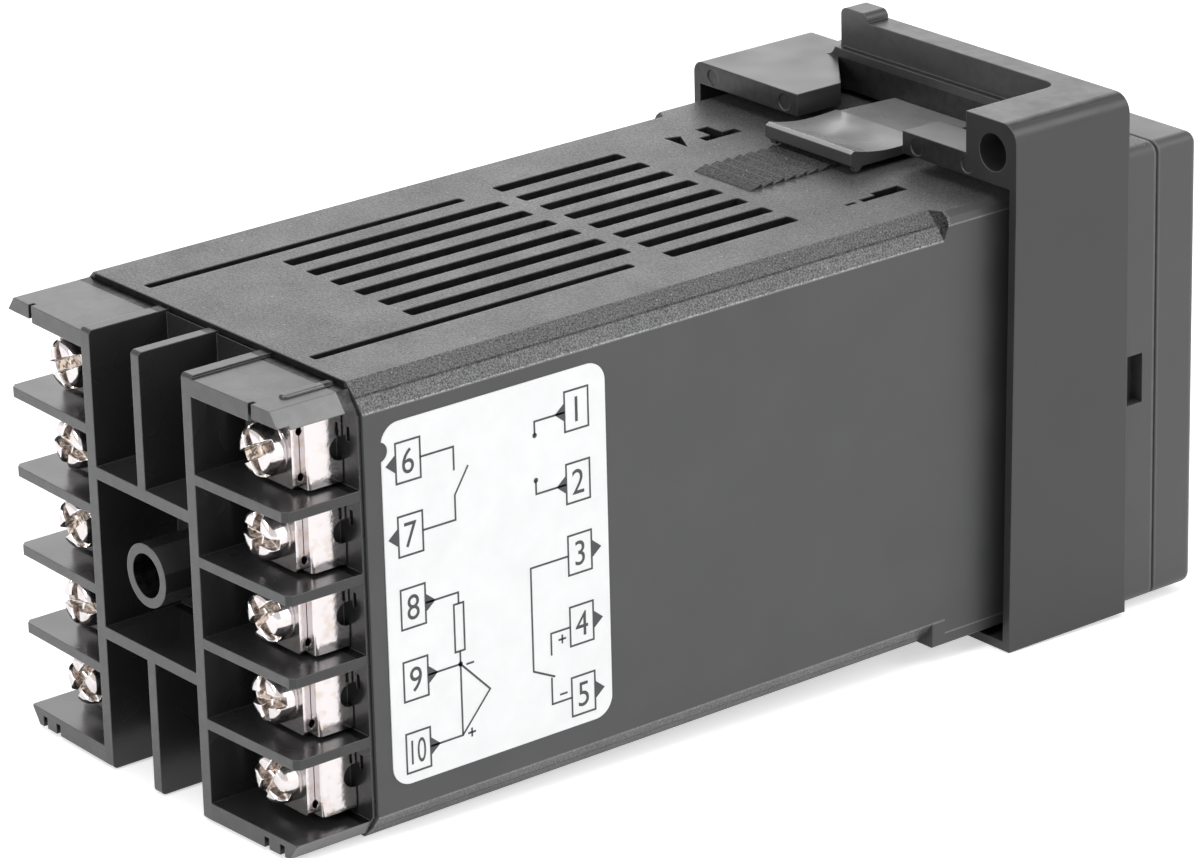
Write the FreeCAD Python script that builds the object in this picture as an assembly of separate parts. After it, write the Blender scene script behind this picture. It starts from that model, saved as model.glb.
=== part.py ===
"""Panel mounted temperature controller with a 48 mm square front, in millimetres.

Frame: +Z up, the front panel faces -Y, the wiring terminals are at +Y.
The origin is the centre of the panel seat, the rear face of the case flange.
"""

import FreeCAD
import Part
import math
import os
from FreeCAD import Vector

# Front frame and panel cut-out
FRAME = 48.0
FRAME_RADIUS = 1.2
FLANGE_DEPTH = 4.6
BEZEL_DEPTH = 5.45
SEAM = 0.15
BEZEL_REAR = -FLANGE_DEPTH - SEAM
NOTCH_LENGTH = 2.9
NOTCH_DEPTH = 1.7
NOTCH_HALF_HEIGHT = 2.6
BEZEL_FRONT = BEZEL_REAR - BEZEL_DEPTH

# Case tube
CASE = 44.5
CASE_HALF = CASE / 2
CASE_REAR = 91.3
WALL = 1.95
CAVITY_HALF = CASE_HALF - WALL
CAVITY_CUT = 1.7
RUNNER_EDGE = 0.15

# Facets of the long corners: small smooth ones in front, wide textured ones behind
CORNER_TOP = CASE_HALF - 1.0
CORNER_MID = (CASE_HALF - 0.35, CASE_HALF - 0.5)
CORNER_SIDE = CASE_HALF - 1.2
BEVEL_TOP = CASE_HALF - 2.35
BEVEL_MID = (CASE_HALF - 1.05, CASE_HALF - 1.25)
BEVEL_SIDE = CASE_HALF - 2.6
BEVEL_FRONT = 21.9
BEVEL_SLOPE = 0.8
RUNNER_REAR = 23.5

# Case ventilation, grooves, rack and keyways
VENT_COUNT = 8
VENT_PITCH = 3.72
VENT_WIDTH = 1.8
VENT_FRONT = (32.9, 48.6)
VENT_REAR = (50.5, 76.5)
VENT_RADIUS = 0.3
GROOVE_Y = (52.8, CASE_REAR - 1.3)
GROOVE_WIDTH = 1.2
GROOVE_DEPTH = 0.6
RACK_Y = (4.75, 31.0)
RACK_PITCH = 1.45
RACK_HALF_WIDTH = 4.25
RACK_HEIGHT = 0.5
RACK_VALLEY = 0.08
KEYWAY_FRONT = 19.1
KEYWAY_REAR = 26.8
PLUS_KEYWAY_X = (10.8, 12.1, 14.4)
MINUS_KEYWAY_X = (12.4, 13.1, 14.0)
CUT_OVER = 1.0
ROOT = 0.5

# Terminal block
FLOOR_FRONT = CASE_REAR + 0.05
FLOOR_REAR = CASE_REAR + 0.4
FLOOR_INSIDE = CASE_REAR - 1.2
BLOCK_REAR = CASE_REAR + 9.1
BLOCK_TIP = BLOCK_REAR - 0.4
BLOCK_HALF = CASE_HALF - 0.35
SPIGOT_CLEARANCE = 0.1
SPIGOT_LENGTH = 5.4
SPIGOT_WALL = 1.4
ROWS = 5
BAY_PITCH = 8.0
BAY_CLEARANCE = 0.3
BAY_WALL_THICKNESS = 1.35
WALL_CORNER = 0.45
DIVIDER = 1.0
COVER_PLATE_THICKNESS = 1.7
COVER_PLATE = (ROWS / 2 * BAY_PITCH, ROWS / 2 * BAY_PITCH + COVER_PLATE_THICKNESS)
BLOCK_HALF_HEIGHT = COVER_PLATE[1] + 0.25
RIDGE_X = (-BLOCK_HALF + 3.3, -BLOCK_HALF + 4.3)
RIDGE_REAR = CASE_REAR + 5.9
RIDGE_RADIUS = 0.45
RIB = 1.2
BOSS_OUTER = 6.2
BOSS_BORE = 4.3

# Terminals
TERMINAL_X = 15.2
STRIP_THICKNESS = 0.8
STRIP_FACE = CASE_REAR + 4.3
STRIP_INNER = TERMINAL_X - 5.0
STRIP_OUTER = TERMINAL_X + 4.4
STRIP_BEND = 0.4
TAB_NOTCH = 2.3
STRIP_HALF_WIDTH = (BAY_PITCH - DIVIDER) / 2 - BAY_CLEARANCE
BLADE_HALF_WIDTH = 1.5
BLADE_LENGTH = 13.4
THREAD = 2.9
THREAD_LENGTH = 3.6
THREAD_CLEARANCE = 0.1
CLAMP_SIZE = 2 * STRIP_HALF_WIDTH
CLAMP_THICKNESS = 0.8
HEAD_DIAMETER = 5.1
HEAD_HEIGHT = 2.1
LIE_GAP = 0.05
BAY_WALL = (STRIP_INNER - 1.5 - BAY_WALL_THICKNESS, STRIP_INNER - 1.5)

# Mounting bracket, shown pressed against the flange and lying against the +X side
SLIDE_CLEARANCE = 0.06
BRACKET_WALL = 0.95
BRACKET_PLAY = 1.74
BRACKET_INNER_PLUS = CASE_HALF + SLIDE_CLEARANCE
BRACKET_OUTER_PLUS = BRACKET_INNER_PLUS + BRACKET_WALL
BRACKET_INNER_MINUS = -CASE_HALF - BRACKET_PLAY
BRACKET_OUTER_MINUS = BRACKET_INNER_MINUS - BRACKET_WALL
BRACKET_MIDDLE = (BRACKET_OUTER_PLUS + BRACKET_OUTER_MINUS) / 2
BRACKET_FRONT = 0.05
BRACKET_REAR = 15.0
BRACKET_REAR_LOW = 15.8
BRACKET_BOTTOM = -CASE_HALF - 1.85
DECK = (CASE_HALF + 1.45, CASE_HALF + 3.75)
WEB_LOW = CASE_HALF + 0.6
UPSTAND_TOP = CASE_HALF + 7.95
UPSTAND_REAR = 2.9
LEDGE_REAR = UPSTAND_REAR + 0.8
LEDGE_TOP = DECK[1] + 1.0
UPSTAND_END = BRACKET_MIDDLE + 15.14
LUG_HEIGHT = 0.9
LUG_LENGTH = 4.0
JACK_HOLE = 3.8
JACK_X = BRACKET_OUTER_MINUS + 3.34
JACK_Z = CASE_HALF + 4.65
JACK_BOSS_INNER = BRACKET_OUTER_MINUS + 7.14
LATCH_WIDTH = 12.8
LATCH_ARM_WIDTH = 12.0
LATCH_TAB = 9.4
LATCH_REAR = 20.6
LATCH_ROOT = LEDGE_REAR + LIE_GAP
LATCH_BASE = CASE_HALF + 0.7
PAWL_GAP = 0.06
PAWL_TEETH = 3
EJECTOR_DIAMETER = 1.7
EJECTOR_DEPTH = 0.12

# Window and keys in the front wall
FRONT_WALL = 1.5
WINDOW = (-19.4, 19.4, -5.0, 19.4)
WINDOW_LEDGE = 1.0
WINDOW_THICKNESS = 0.8
WINDOW_CLEARANCE = 0.1
KEY_X = (-14.1, -4.7, 4.7, 14.1)
KEY_Z = -15.5
KEY_WIDTH = 7.0
KEY_HEIGHT = 5.0
KEY_CLEARANCE = 0.12
KEY_PROUD = 0.6
KEY_TRAVEL = 0.5
KEY_RIM = 0.6
KEY_RIM_DEPTH = 0.8
KEY_STEM = 1.3
PLUNGER_DIAMETER = 3.2
PLUNGER_LENGTH = 1.5
KEY_SEAT = BEZEL_FRONT + FRONT_WALL + LIE_GAP
PLUNGER_FRONT = KEY_SEAT + KEY_STEM + LIE_GAP

# Chassis boards
SKIRT_CLEARANCE = 0.15
SKIRT_WALL = 1.2
SKIRT_REAR = 4.0
DISPLAY_BOARD_FRONT = -2.0
BOARD_THICKNESS = 1.6
BOARD_INNER = STRIP_INNER + STRIP_THICKNESS + 0.1
BOARD_OUTER = BOARD_INNER + BOARD_THICKNESS
BOARD_HALF_HEIGHT = CAVITY_HALF - 1.7
BOARD_FRONT = DISPLAY_BOARD_FRONT + BOARD_THICKNESS + LIE_GAP
BOARD_REAR = CASE_REAR - 3.8
PAD_THICKNESS = 0.05
INNER_FACE = BOARD_INNER - LIE_GAP
DIGIT_FRONT = BEZEL_FRONT + 1.4
DIGIT_BAR = 0.9
DIGIT_PRINT = 0.1
DIGITS = 4
DIGIT_MARGIN = 1.65
UPPER_DISPLAY = (16.5, 7.0, 18.0)
LOWER_DISPLAY = (14.0, -2.4, 6.4)
LAMP_HEIGHT = -3.5
LAMP_PITCH = 6.0
LAMPS = 5

# Parts on the long boards
SURFACE_GAP = 0.02
TRANSFORMER_Y = (26.0, 44.0)
TRANSFORMER_HALF_HEIGHT = 6.0
TRANSFORMER_DEPTH = 12.0
COIL_BASE = 2.0
CAPACITOR_PLACE = (15.0, -8.5)
CAPACITOR_RADIUS = 5.0
CAPACITOR_LENGTH = 16.0
RELAY_Y = (51.0, 69.5)
RELAY_SIZE = (15.0, 10.0)
RELAY_LOW = (1.0, -12.0)
FUSE_Y = (54.0, 70.0)
FUSE_Z = 8.0
FUSE_RADIUS = 2.6
CHOKE_PLACE = (60.0, -10.0)
CHOKE_RADIUS = 6.5
CHOKE_DEPTH = 5.0
SPACER_Y = (72.0, 76.0)
HEADER_SIZE = (2.55, 2.65, 28.0)
CHIP_HEIGHT = 1.5
CONTROLLER_PLACE = (25.0, 0.0)
CONTROLLER_SIZE = (10.0, 10.0)
CONTROLLER_LEGS = (12.0, 12.0)
AMPLIFIER_PLACE = (64.5, 8.0)
AMPLIFIER_SIZE = (5.0, 4.0)
AMPLIFIER_LEGS = (4.4, 6.0)
SMALL_PART_SIZE = (1.0, 3.0, 1.6)
SMALL_PART_PITCH = 9.0
SMALL_PART_START = 10.0
SMALL_PART_ROWS = (-14.0, 14.5)
SMALL_PARTS_PER_ROW = 6

# Label on the -X side
LABEL_Y = (63.9, 89.5)
LABEL_Z = (-17.2, 18.2)
LABEL_THICKNESS = 0.12
LABEL_RADIUS = 2.0
LABEL_NICK_Z = 15.7


def box(x0, x1, y0, y1, z0, z1):
    """Box between two opposite corners."""
    return Part.makeBox(x1 - x0, y1 - y0, z1 - z0, Vector(x0, y0, z0))


def polygon_face(vectors):
    return Part.Face(Part.makePolygon(vectors + vectors[:1]))


def prism_xz(points, y0, y1):
    """Outline in x and z, drawn out along y."""
    return polygon_face([Vector(x, y0, z) for x, z in points]).extrude(Vector(0, y1 - y0, 0))


def prism_yz(points, x0, x1):
    """Outline in y and z, drawn out along x."""
    return polygon_face([Vector(x0, y, z) for y, z in points]).extrude(Vector(x1 - x0, 0, 0))


def prism_xy(points, z0, z1):
    """Outline in x and y, drawn out along z."""
    return polygon_face([Vector(x, y, z0) for x, y in points]).extrude(Vector(0, 0, z1 - z0))


def round_rectangle(u0, u1, v0, v1, radius, place):
    """Face of a rectangle with round corners; place turns (u, v) into a point."""
    k = radius * (1 - math.sqrt(0.5))
    corners = [
        ((u1, v0 + radius), (u1 - k, v0 + k), (u1 - radius, v0)),
        ((u0 + radius, v0), (u0 + k, v0 + k), (u0, v0 + radius)),
        ((u0, v1 - radius), (u0 + k, v1 - k), (u0 + radius, v1)),
        ((u1 - radius, v1), (u1 - k, v1 - k), (u1, v1 - radius)),
    ]
    edges = []
    for i, (start, middle, end) in enumerate(corners):
        edges.append(Part.Arc(place(*start), place(*middle), place(*end)).toShape())
        edges.append(Part.makeLine(place(*end), place(*corners[(i + 1) % 4][0])))
    return Part.Face(Part.Wire(edges))


def plate_xz(x0, x1, z0, z1, radius, y0, y1):
    """Round cornered plate facing along y."""
    face = round_rectangle(x0, x1, z0, z1, radius, lambda u, v: Vector(u, y0, v))
    return face.extrude(Vector(0, y1 - y0, 0))


def slot_xy(x0, x1, y0, y1, radius, z0, z1):
    """Round cornered plate facing along z."""
    face = round_rectangle(x0, x1, y0, y1, radius, lambda u, v: Vector(u, v, z0))
    return face.extrude(Vector(0, 0, z1 - z0))


def rod_y(x, z, diameter, y0, y1):
    return Part.makeCylinder(diameter / 2, y1 - y0, Vector(x, y0, z), Vector(0, 1, 0))


def rod_x(y, z, diameter, x0, x1):
    return Part.makeCylinder(diameter / 2, x1 - x0, Vector(x0, y, z), Vector(1, 0, 0))


def revolve_y(points, x, z):
    """Outline in radius and y, turned about the line through x and z along y."""
    face = polygon_face([Vector(r, y, 0) for r, y in points])
    solid = face.revolve(Vector(0, 0, 0), Vector(0, 1, 0), 360)
    solid.translate(Vector(x, 0, z))
    return solid


def fuse(shapes):
    return shapes[0].multiFuse(shapes[1:]).removeSplitter()


def edges_where(shape, test):
    """Edges whose bounding box passes the test."""
    return [edge for edge in shape.Edges if test(edge.BoundBox)]


def soften(shape, radius, test):
    return shape.makeFillet(radius, edges_where(shape, test))


def both_sides(shape):
    """The shape and its mirror image across x = 0."""
    return [shape, shape.mirror(Vector(0, 0, 0), Vector(1, 0, 0))]


def square_outline(half_width, half_height, cut):
    """Outline of a rectangle with four corners cut at 45 degrees."""
    a = half_width - cut
    b = half_height - cut
    return [
        (a, half_height), (half_width, b), (half_width, -b), (a, -half_height),
        (-a, -half_height), (-half_width, -b), (-half_width, b), (-a, half_height),
    ]


def bay_heights():
    """Heights of the terminals, from the top."""
    return [BAY_PITCH * ((ROWS - 1) / 2 - row) for row in range(ROWS)]


def divider_heights():
    """Heights of the shelves between the terminals."""
    return [BAY_PITCH * (ROWS / 2 - 1 - row) for row in range(ROWS - 1)]


def terminal_places():
    """Centres of the ten screws: numbers 1 to 5 at -X, 6 to 10 at +X, from the top."""
    return [(side * TERMINAL_X, z) for side in (-1, 1) for z in bay_heights()]


def tube_outline():
    """Case outline: two small facets on the top corners, square corners below."""
    right = [(CORNER_TOP, CASE_HALF), CORNER_MID, (CASE_HALF, CORNER_SIDE)]
    low = CASE_HALF - RUNNER_EDGE
    right += [(CASE_HALF, -low), (low, -CASE_HALF)]
    return right + [(-x, z) for x, z in reversed(right)]


def bevel_wedge(side, up):
    """Outline of the waste outside the two facets of one long corner of the case."""
    margin = CASE_HALF + CUT_OVER
    facet = [(BEVEL_TOP, CASE_HALF), BEVEL_MID, (CASE_HALF, BEVEL_SIDE), (margin, BEVEL_SIDE),
             (margin, margin), (BEVEL_TOP, margin)]
    return [(side * x, up * z) for x, z in facet]


def corner_bevels():
    """Wedges that cut the textured facets; those of the top end in a slope at the front."""
    wedges = []
    for side in (-1, 1):
        top = prism_xz(bevel_wedge(side, 1), BEVEL_FRONT, CASE_REAR + CUT_OVER)
        ring = [Vector(x, BEVEL_FRONT, z) for x, z in bevel_wedge(side, 1)]
        ramp = polygon_face(ring).extrude(Vector(side, -1, 1) * BEVEL_SLOPE)
        bottom = prism_xz(bevel_wedge(side, -1), RUNNER_REAR, CASE_REAR + CUT_OVER)
        wedges += [top, ramp, bottom]
    return wedges


def rack():
    """Saw teeth on the top of the case; the steep side of each tooth faces the panel."""
    base = CASE_HALF - 0.4
    points = [(RACK_Y[1], base), (RACK_Y[0], base)]
    count = round((RACK_Y[1] - RACK_Y[0]) / RACK_PITCH)
    for i in range(count):
        y = RACK_Y[0] + i * RACK_PITCH
        points.append((y, CASE_HALF + RACK_HEIGHT))
        points.append((y + RACK_PITCH, CASE_HALF + RACK_VALLEY))
    return prism_yz(points, -RACK_HALF_WIDTH, RACK_HALF_WIDTH)


def vent_x(index):
    """Centre of one slot in the row that is spread about the middle of the case."""
    return (index - (VENT_COUNT - 1) / 2) * VENT_PITCH


def vent_cuts(sign):
    """Ventilation slots of the top (sign 1) or the underside (sign -1)."""
    low, high = sorted((sign * (CAVITY_HALF - CUT_OVER), sign * (CASE_HALF + CUT_OVER)))
    half = VENT_WIDTH / 2
    cuts = []
    for i in range(VENT_COUNT):
        x = vent_x(i)
        cuts.append(slot_xy(x - half, x + half, *VENT_FRONT, VENT_RADIUS, low, high))
        if 0 < i < VENT_COUNT - 1:
            cuts.append(slot_xy(x - half, x + half, *VENT_REAR, VENT_RADIUS, low, high))
    return cuts


def through_top(x0, x1, y0, y1):
    return box(x0, x1, y0, y1, CAVITY_HALF - CUT_OVER, CASE_HALF + CUT_OVER)


def keyways():
    """Catch openings of the top wall: a slot with a pocket at +X, a stepped slot at -X."""
    front, rear = KEYWAY_FRONT, KEYWAY_REAR
    near, step, far = PLUS_KEYWAY_X
    wedge = [(near - 0.2, rear - 0.4), (far, rear - 0.4), (far - 0.6, rear - 2.1)]
    plus = [through_top(near, step, front, rear - 3.0),
            through_top(step - ROOT, far, front + 1.6, front + 3.2),
            prism_xy(wedge, CAVITY_HALF - CUT_OVER, CASE_HALF + CUT_OVER)]
    near, step, far = MINUS_KEYWAY_X
    minus = [through_top(-far, -near, front, front + 3.6),
             through_top(-far, -step, front, rear - 2.0),
             through_top(-far + 0.2, -step - 0.2, rear - 1.3, rear)]
    return plus + minus


def flange_notch():
    """Notch in the side of the flange, deepest in front, for the tool that frees the chassis."""
    half = FRAME / 2
    outline = [(half + CUT_OVER, -NOTCH_LENGTH), (half - NOTCH_DEPTH, -NOTCH_LENGTH),
               (half - 0.3, CUT_OVER), (half + CUT_OVER, CUT_OVER)]
    return prism_xy(outline, -NOTCH_HALF_HEIGHT, NOTCH_HALF_HEIGHT)


def case_shell():
    """Square tube with the panel flange, bevelled corners, vents, rack and catch notches."""
    tube = prism_xz(tube_outline(), -0.5, CASE_REAR)
    half = FRAME / 2
    flange = plate_xz(-half, half, -half, half, FRAME_RADIUS, -FLANGE_DEPTH, 0)
    flange = soften(flange, 0.5, lambda b: b.YMin > -0.01)
    shell = fuse([tube, flange, rack()])
    cavity = square_outline(CAVITY_HALF, CAVITY_HALF, CAVITY_CUT)
    cuts = [prism_xz(cavity, -FLANGE_DEPTH - CUT_OVER, CASE_REAR + CUT_OVER)]
    cuts += vent_cuts(1) + vent_cuts(-1) + corner_bevels()
    x = vent_x(VENT_COUNT - 1)
    groove = slot_xy(x - GROOVE_WIDTH / 2, x + GROOVE_WIDTH / 2, *GROOVE_Y, GROOVE_WIDTH / 4,
                     CASE_HALF - GROOVE_DEPTH, CASE_HALF + CUT_OVER)
    return shell.cut(cuts + both_sides(groove) + keyways() + both_sides(flange_notch()))


def block_shelves():
    """Shelves between the terminal bays of the +X side and the cover plates beyond them."""
    root = FLOOR_FRONT
    inner = BAY_WALL[0] + ROOT
    shelf = [(inner, root), (inner, BLOCK_REAR), (BAY_WALL[1], BLOCK_REAR),
             (BLOCK_HALF - 0.5, BLOCK_TIP), (BLOCK_HALF, BLOCK_TIP - 0.5), (BLOCK_HALF, root)]
    spans = [(z - DIVIDER / 2, z + DIVIDER / 2) for z in divider_heights()]
    spans += [COVER_PLATE, (-COVER_PLATE[1], -COVER_PLATE[0])]
    return [prism_xy(shelf, low, high) for low, high in spans]


def block_pedestals():
    """Blocks that carry the screw faces of the +X terminals."""
    x0 = STRIP_INNER + STRIP_THICKNESS + 0.6
    x1 = STRIP_OUTER - STRIP_THICKNESS - 0.1
    half = STRIP_HALF_WIDTH - 0.2
    top = STRIP_FACE - STRIP_THICKNESS
    return [box(x0, x1, FLOOR_FRONT, top, z - half, z + half) for z in bay_heights()]


def round_ended(wall):
    """Wall whose rear corners at the top and bottom of the block are rounded."""
    edge = BLOCK_HALF_HEIGHT - 0.01
    return soften(wall, WALL_CORNER, lambda b: b.YMin > BLOCK_REAR - 0.01 and b.ZLength < 0.01
                  and (b.ZMin > edge or b.ZMax < -edge))


def block_cross_ribs():
    """Ribs that brace the two bay walls and lead to the middle boss."""
    root = FLOOR_FRONT
    half = RIB / 2
    wall = BAY_WALL[0] + ROOT
    ribs = [round_ended(box(-half, half, root, BLOCK_REAR, BAY_PITCH, BLOCK_HALF_HEIGHT)),
            round_ended(box(-half, half, root, BLOCK_REAR, -BLOCK_HALF_HEIGHT, -BAY_PITCH))]
    for z in (-BAY_PITCH, BAY_PITCH):
        ribs.append(box(-wall, wall, root, BLOCK_REAR, z - half, z + half))
    return ribs


def block_openings():
    """Blade slots of the floor, and the slots and nicks of the cover plates, at +X."""
    cuts = []
    half = BLADE_HALF_WIDTH + THREAD_CLEARANCE
    for z in bay_heights():
        cuts.append(box(STRIP_INNER - THREAD_CLEARANCE, BOARD_INNER,
                        FLOOR_FRONT - SPIGOT_LENGTH - CUT_OVER, FLOOR_REAR + CUT_OVER,
                        z - half, z + half))
        cuts.append(box(STRIP_OUTER + 0.6, STRIP_OUTER + 1.1, FLOOR_FRONT - 0.7, FLOOR_REAR + CUT_OVER,
                        z + 0.8, z + 2.2))
    beyond = BLOCK_REAR + CUT_OVER
    low = COVER_PLATE[0] - CUT_OVER
    tip = BLOCK_HALF
    cuts.append(box(tip - 4.3, tip + CUT_OVER, BLOCK_REAR - 1.7, beyond, low, COVER_PLATE[0] + 0.3))
    top = BLOCK_HALF_HEIGHT + CUT_OVER
    cuts.append(box(tip - 4.7, tip - 4.2, BLOCK_REAR - 0.9, beyond, low, top))
    for x in (tip - 5.3, tip - 3.0):
        cuts.append(box(x, x + 0.7, BLOCK_REAR - 1.2, beyond, -top, -COVER_PLATE[0] - 0.6))
    return cuts


def finger_ridge():
    """Round ended ridge on the upper cover plate of the -X side."""
    x0, x1 = RIDGE_X
    low = COVER_PLATE[1] - ROOT
    ridge = slot_xy(x0, x1, FLOOR_FRONT, RIDGE_REAR, RIDGE_RADIUS, low, BLOCK_HALF_HEIGHT)
    return soften(ridge, 0.2, lambda b: b.ZMin > BLOCK_HALF_HEIGHT - 0.01)


def block_envelope():
    """Outline with a steep facet on each corner that trims the whole block."""
    high = BLOCK_HALF_HEIGHT
    corner = [(BLOCK_HALF - 1.8, high), (BLOCK_HALF, high - 2.4)]
    ring = corner + [(x, -z) for x, z in reversed(corner)]
    ring += [(-x, -z) for x, z in corner] + [(-x, z) for x, z in reversed(corner)]
    return prism_xz(ring, FLOOR_FRONT - SPIGOT_LENGTH - CUT_OVER, BLOCK_REAR + CUT_OVER)


def block_spigot():
    """Square collar in front of the floor that closes the rear of the case tube."""
    outer = CAVITY_HALF - SPIGOT_CLEARANCE
    inner = outer - SPIGOT_WALL
    front = FLOOR_FRONT - SPIGOT_LENGTH
    collar = prism_xz(square_outline(outer, outer, CAVITY_CUT), front, FLOOR_FRONT + 0.1)
    return collar.cut(prism_xz(square_outline(inner, inner, 1.0), front - CUT_OVER, FLOOR_INSIDE))


def terminal_block():
    """Rear moulding: spigot, floor, bay walls, shelves, pedestals and the middle boss."""
    root = FLOOR_FRONT
    floor = prism_xz(square_outline(BLOCK_HALF, COVER_PLATE[1], 1.9), FLOOR_FRONT, FLOOR_REAR)
    side = block_shelves() + block_pedestals()
    side.append(round_ended(box(*BAY_WALL, root, BLOCK_REAR, -BLOCK_HALF_HEIGHT, BLOCK_HALF_HEIGHT)))
    solids = [floor, block_spigot(), finger_ridge()] + block_cross_ribs()
    for solid in side:
        solids += both_sides(solid)
    solids.append(rod_y(0, 0, BOSS_OUTER, root, BLOCK_REAR))
    cuts = [rod_y(0, 0, BOSS_BORE, FLOOR_REAR + 0.3, BLOCK_REAR + CUT_OVER)]
    for x, z in terminal_places():
        cuts.append(rod_y(x, z, THREAD + 0.4, FLOOR_FRONT + ROOT, STRIP_FACE))
    for cut in block_openings():
        cuts += both_sides(cut)
    return fuse(solids).cut(cuts).common(block_envelope())


def terminal_strip(side, z):
    """One folded terminal: side tab, screw face and the blade that meets the board."""
    face_low = STRIP_FACE - STRIP_THICKNESS
    inner_end = STRIP_INNER + STRIP_THICKNESS
    outer_start = STRIP_OUTER - STRIP_THICKNESS
    low, high = z - STRIP_HALF_WIDTH, z + STRIP_HALF_WIDTH
    strip = fuse([
        box(STRIP_INNER, STRIP_OUTER, face_low, STRIP_FACE, low, high),
        box(outer_start, STRIP_OUTER, FLOOR_REAR + SPIGOT_CLEARANCE, STRIP_FACE, low, high),
        box(STRIP_INNER, inner_end, STRIP_FACE - BLADE_LENGTH, STRIP_FACE,
            z - BLADE_HALF_WIDTH, z + BLADE_HALF_WIDTH),
    ])
    strip = soften(strip, STRIP_BEND,
                   lambda b: b.XMin > STRIP_OUTER - 0.01 and b.YMin > STRIP_FACE - 0.01)
    strip = strip.cut([
        rod_y(TERMINAL_X, z, THREAD + THREAD_CLEARANCE, face_low - CUT_OVER, STRIP_FACE + CUT_OVER),
        rod_x(FLOOR_REAR + 0.3, z, TAB_NOTCH, outer_start - CUT_OVER, STRIP_OUTER + CUT_OVER),
    ])
    return strip if side > 0 else strip.mirror(Vector(0, 0, 0), Vector(1, 0, 0))


def terminal_strips(side):
    return [terminal_strip(side, z) for z in bay_heights()]


def clamp_plate(x, z):
    """Square washer with two turned down lips that hold a wire under the screw."""
    y0 = STRIP_FACE + LIE_GAP
    half = CLAMP_SIZE / 2
    plate = plate_xz(x - half, x + half, z - half, z + half, 0.4, y0, y0 + CLAMP_THICKNESS)
    cuts = [rod_y(x, z, THREAD + 2 * THREAD_CLEARANCE, y0 - CUT_OVER, y0 + 2)]
    for height in (z - 2.2, z + 2.2):
        cuts.append(rod_x(y0 - 0.15, height, 0.9, x - half - CUT_OVER, x + half + CUT_OVER))
    return plate.cut(cuts)


def terminal_screw(index, x, z):
    """Pan head screw with a combined slot and cross, its thread drawn as a plain rod."""
    seat = STRIP_FACE + LIE_GAP + CLAMP_THICKNESS + LIE_GAP
    top = seat + HEAD_HEIGHT
    end = seat - THREAD_LENGTH
    rod = THREAD / 2
    r = HEAD_DIAMETER / 2
    outline = [(0, end), (rod - 0.4, end), (rod, end + 0.4), (rod, seat), (r, seat),
               (r, top - 1.2), (r - 0.3, top - 0.5), (r - 1.1, top), (0, top)]
    reach = 0.82 * r
    slot = box(-r - CUT_OVER, r + CUT_OVER, top - 0.85, top + CUT_OVER, -0.4, 0.4)
    upright = box(-0.5, 0.5, top - 1.35, top + CUT_OVER, -reach, reach)
    level = box(-reach, reach, top - 1.35, top + CUT_OVER, -0.5, 0.5)
    recess = fuse([slot, upright, level])
    recess.rotate(Vector(0, 0, 0), Vector(0, 1, 0), 25 + 37 * index)
    recess.translate(Vector(x, 0, z))
    return revolve_y(outline, x, z).cut(recess)


def bracket_ring():
    """Two cheeks and the bottom of the bracket, lower edge slightly deeper than the deck."""
    front, rear = BRACKET_FRONT, BRACKET_REAR
    minus, plus = BRACKET_OUTER_MINUS, BRACKET_OUTER_PLUS
    shoulder = DECK[0] - 1.7
    cheek = [(front, BRACKET_BOTTOM), (front, DECK[1]), (rear, DECK[1]), (rear, shoulder),
             (BRACKET_REAR_LOW, BRACKET_BOTTOM)]
    ring = [prism_yz(cheek, minus, BRACKET_INNER_MINUS), prism_yz(cheek, BRACKET_INNER_PLUS, plus)]
    inside = BRACKET_BOTTOM + BRACKET_WALL
    floor = [(front, BRACKET_BOTTOM), (BRACKET_REAR_LOW, BRACKET_BOTTOM),
             (BRACKET_REAR_LOW - 0.02, inside), (front, inside)]
    ring.append(prism_yz(floor, minus, plus))
    return ring


def bracket_decks():
    """Top of the bracket: jack boss, two decks beside the latch, upstand, foot and lug."""
    front, rear = BRACKET_FRONT, BRACKET_REAR
    start = JACK_BOSS_INNER - ROOT
    end = UPSTAND_END
    deck_minus = [(start, rear - 4.8), (start, rear), (BRACKET_MIDDLE - 7.76, rear),
                  (BRACKET_MIDDLE - 7.76, rear - 4.8)]
    deck_plus = [(BRACKET_OUTER_PLUS, front), (BRACKET_OUTER_PLUS, rear), (BRACKET_MIDDLE + 8.04, rear),
                 (BRACKET_MIDDLE + 8.04, rear - 5.8), (end, UPSTAND_REAR + ROOT), (end, front)]
    lug = box(end - LUG_LENGTH, end, front, UPSTAND_REAR, UPSTAND_TOP - ROOT, UPSTAND_TOP + LUG_HEIGHT)
    top = UPSTAND_TOP + LUG_HEIGHT - 0.01
    return [
        box(BRACKET_OUTER_MINUS, JACK_BOSS_INNER, front, rear, DECK[0], UPSTAND_TOP),
        prism_xy(deck_minus, *DECK),
        prism_xy(deck_plus, *DECK),
        box(start, end, front, UPSTAND_REAR, WEB_LOW, UPSTAND_TOP),
        box(start, end, front, LEDGE_REAR, WEB_LOW, LEDGE_TOP),
        soften(lug, 0.8, lambda b: b.ZMin > top and b.YLength > 2),
    ]


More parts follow.
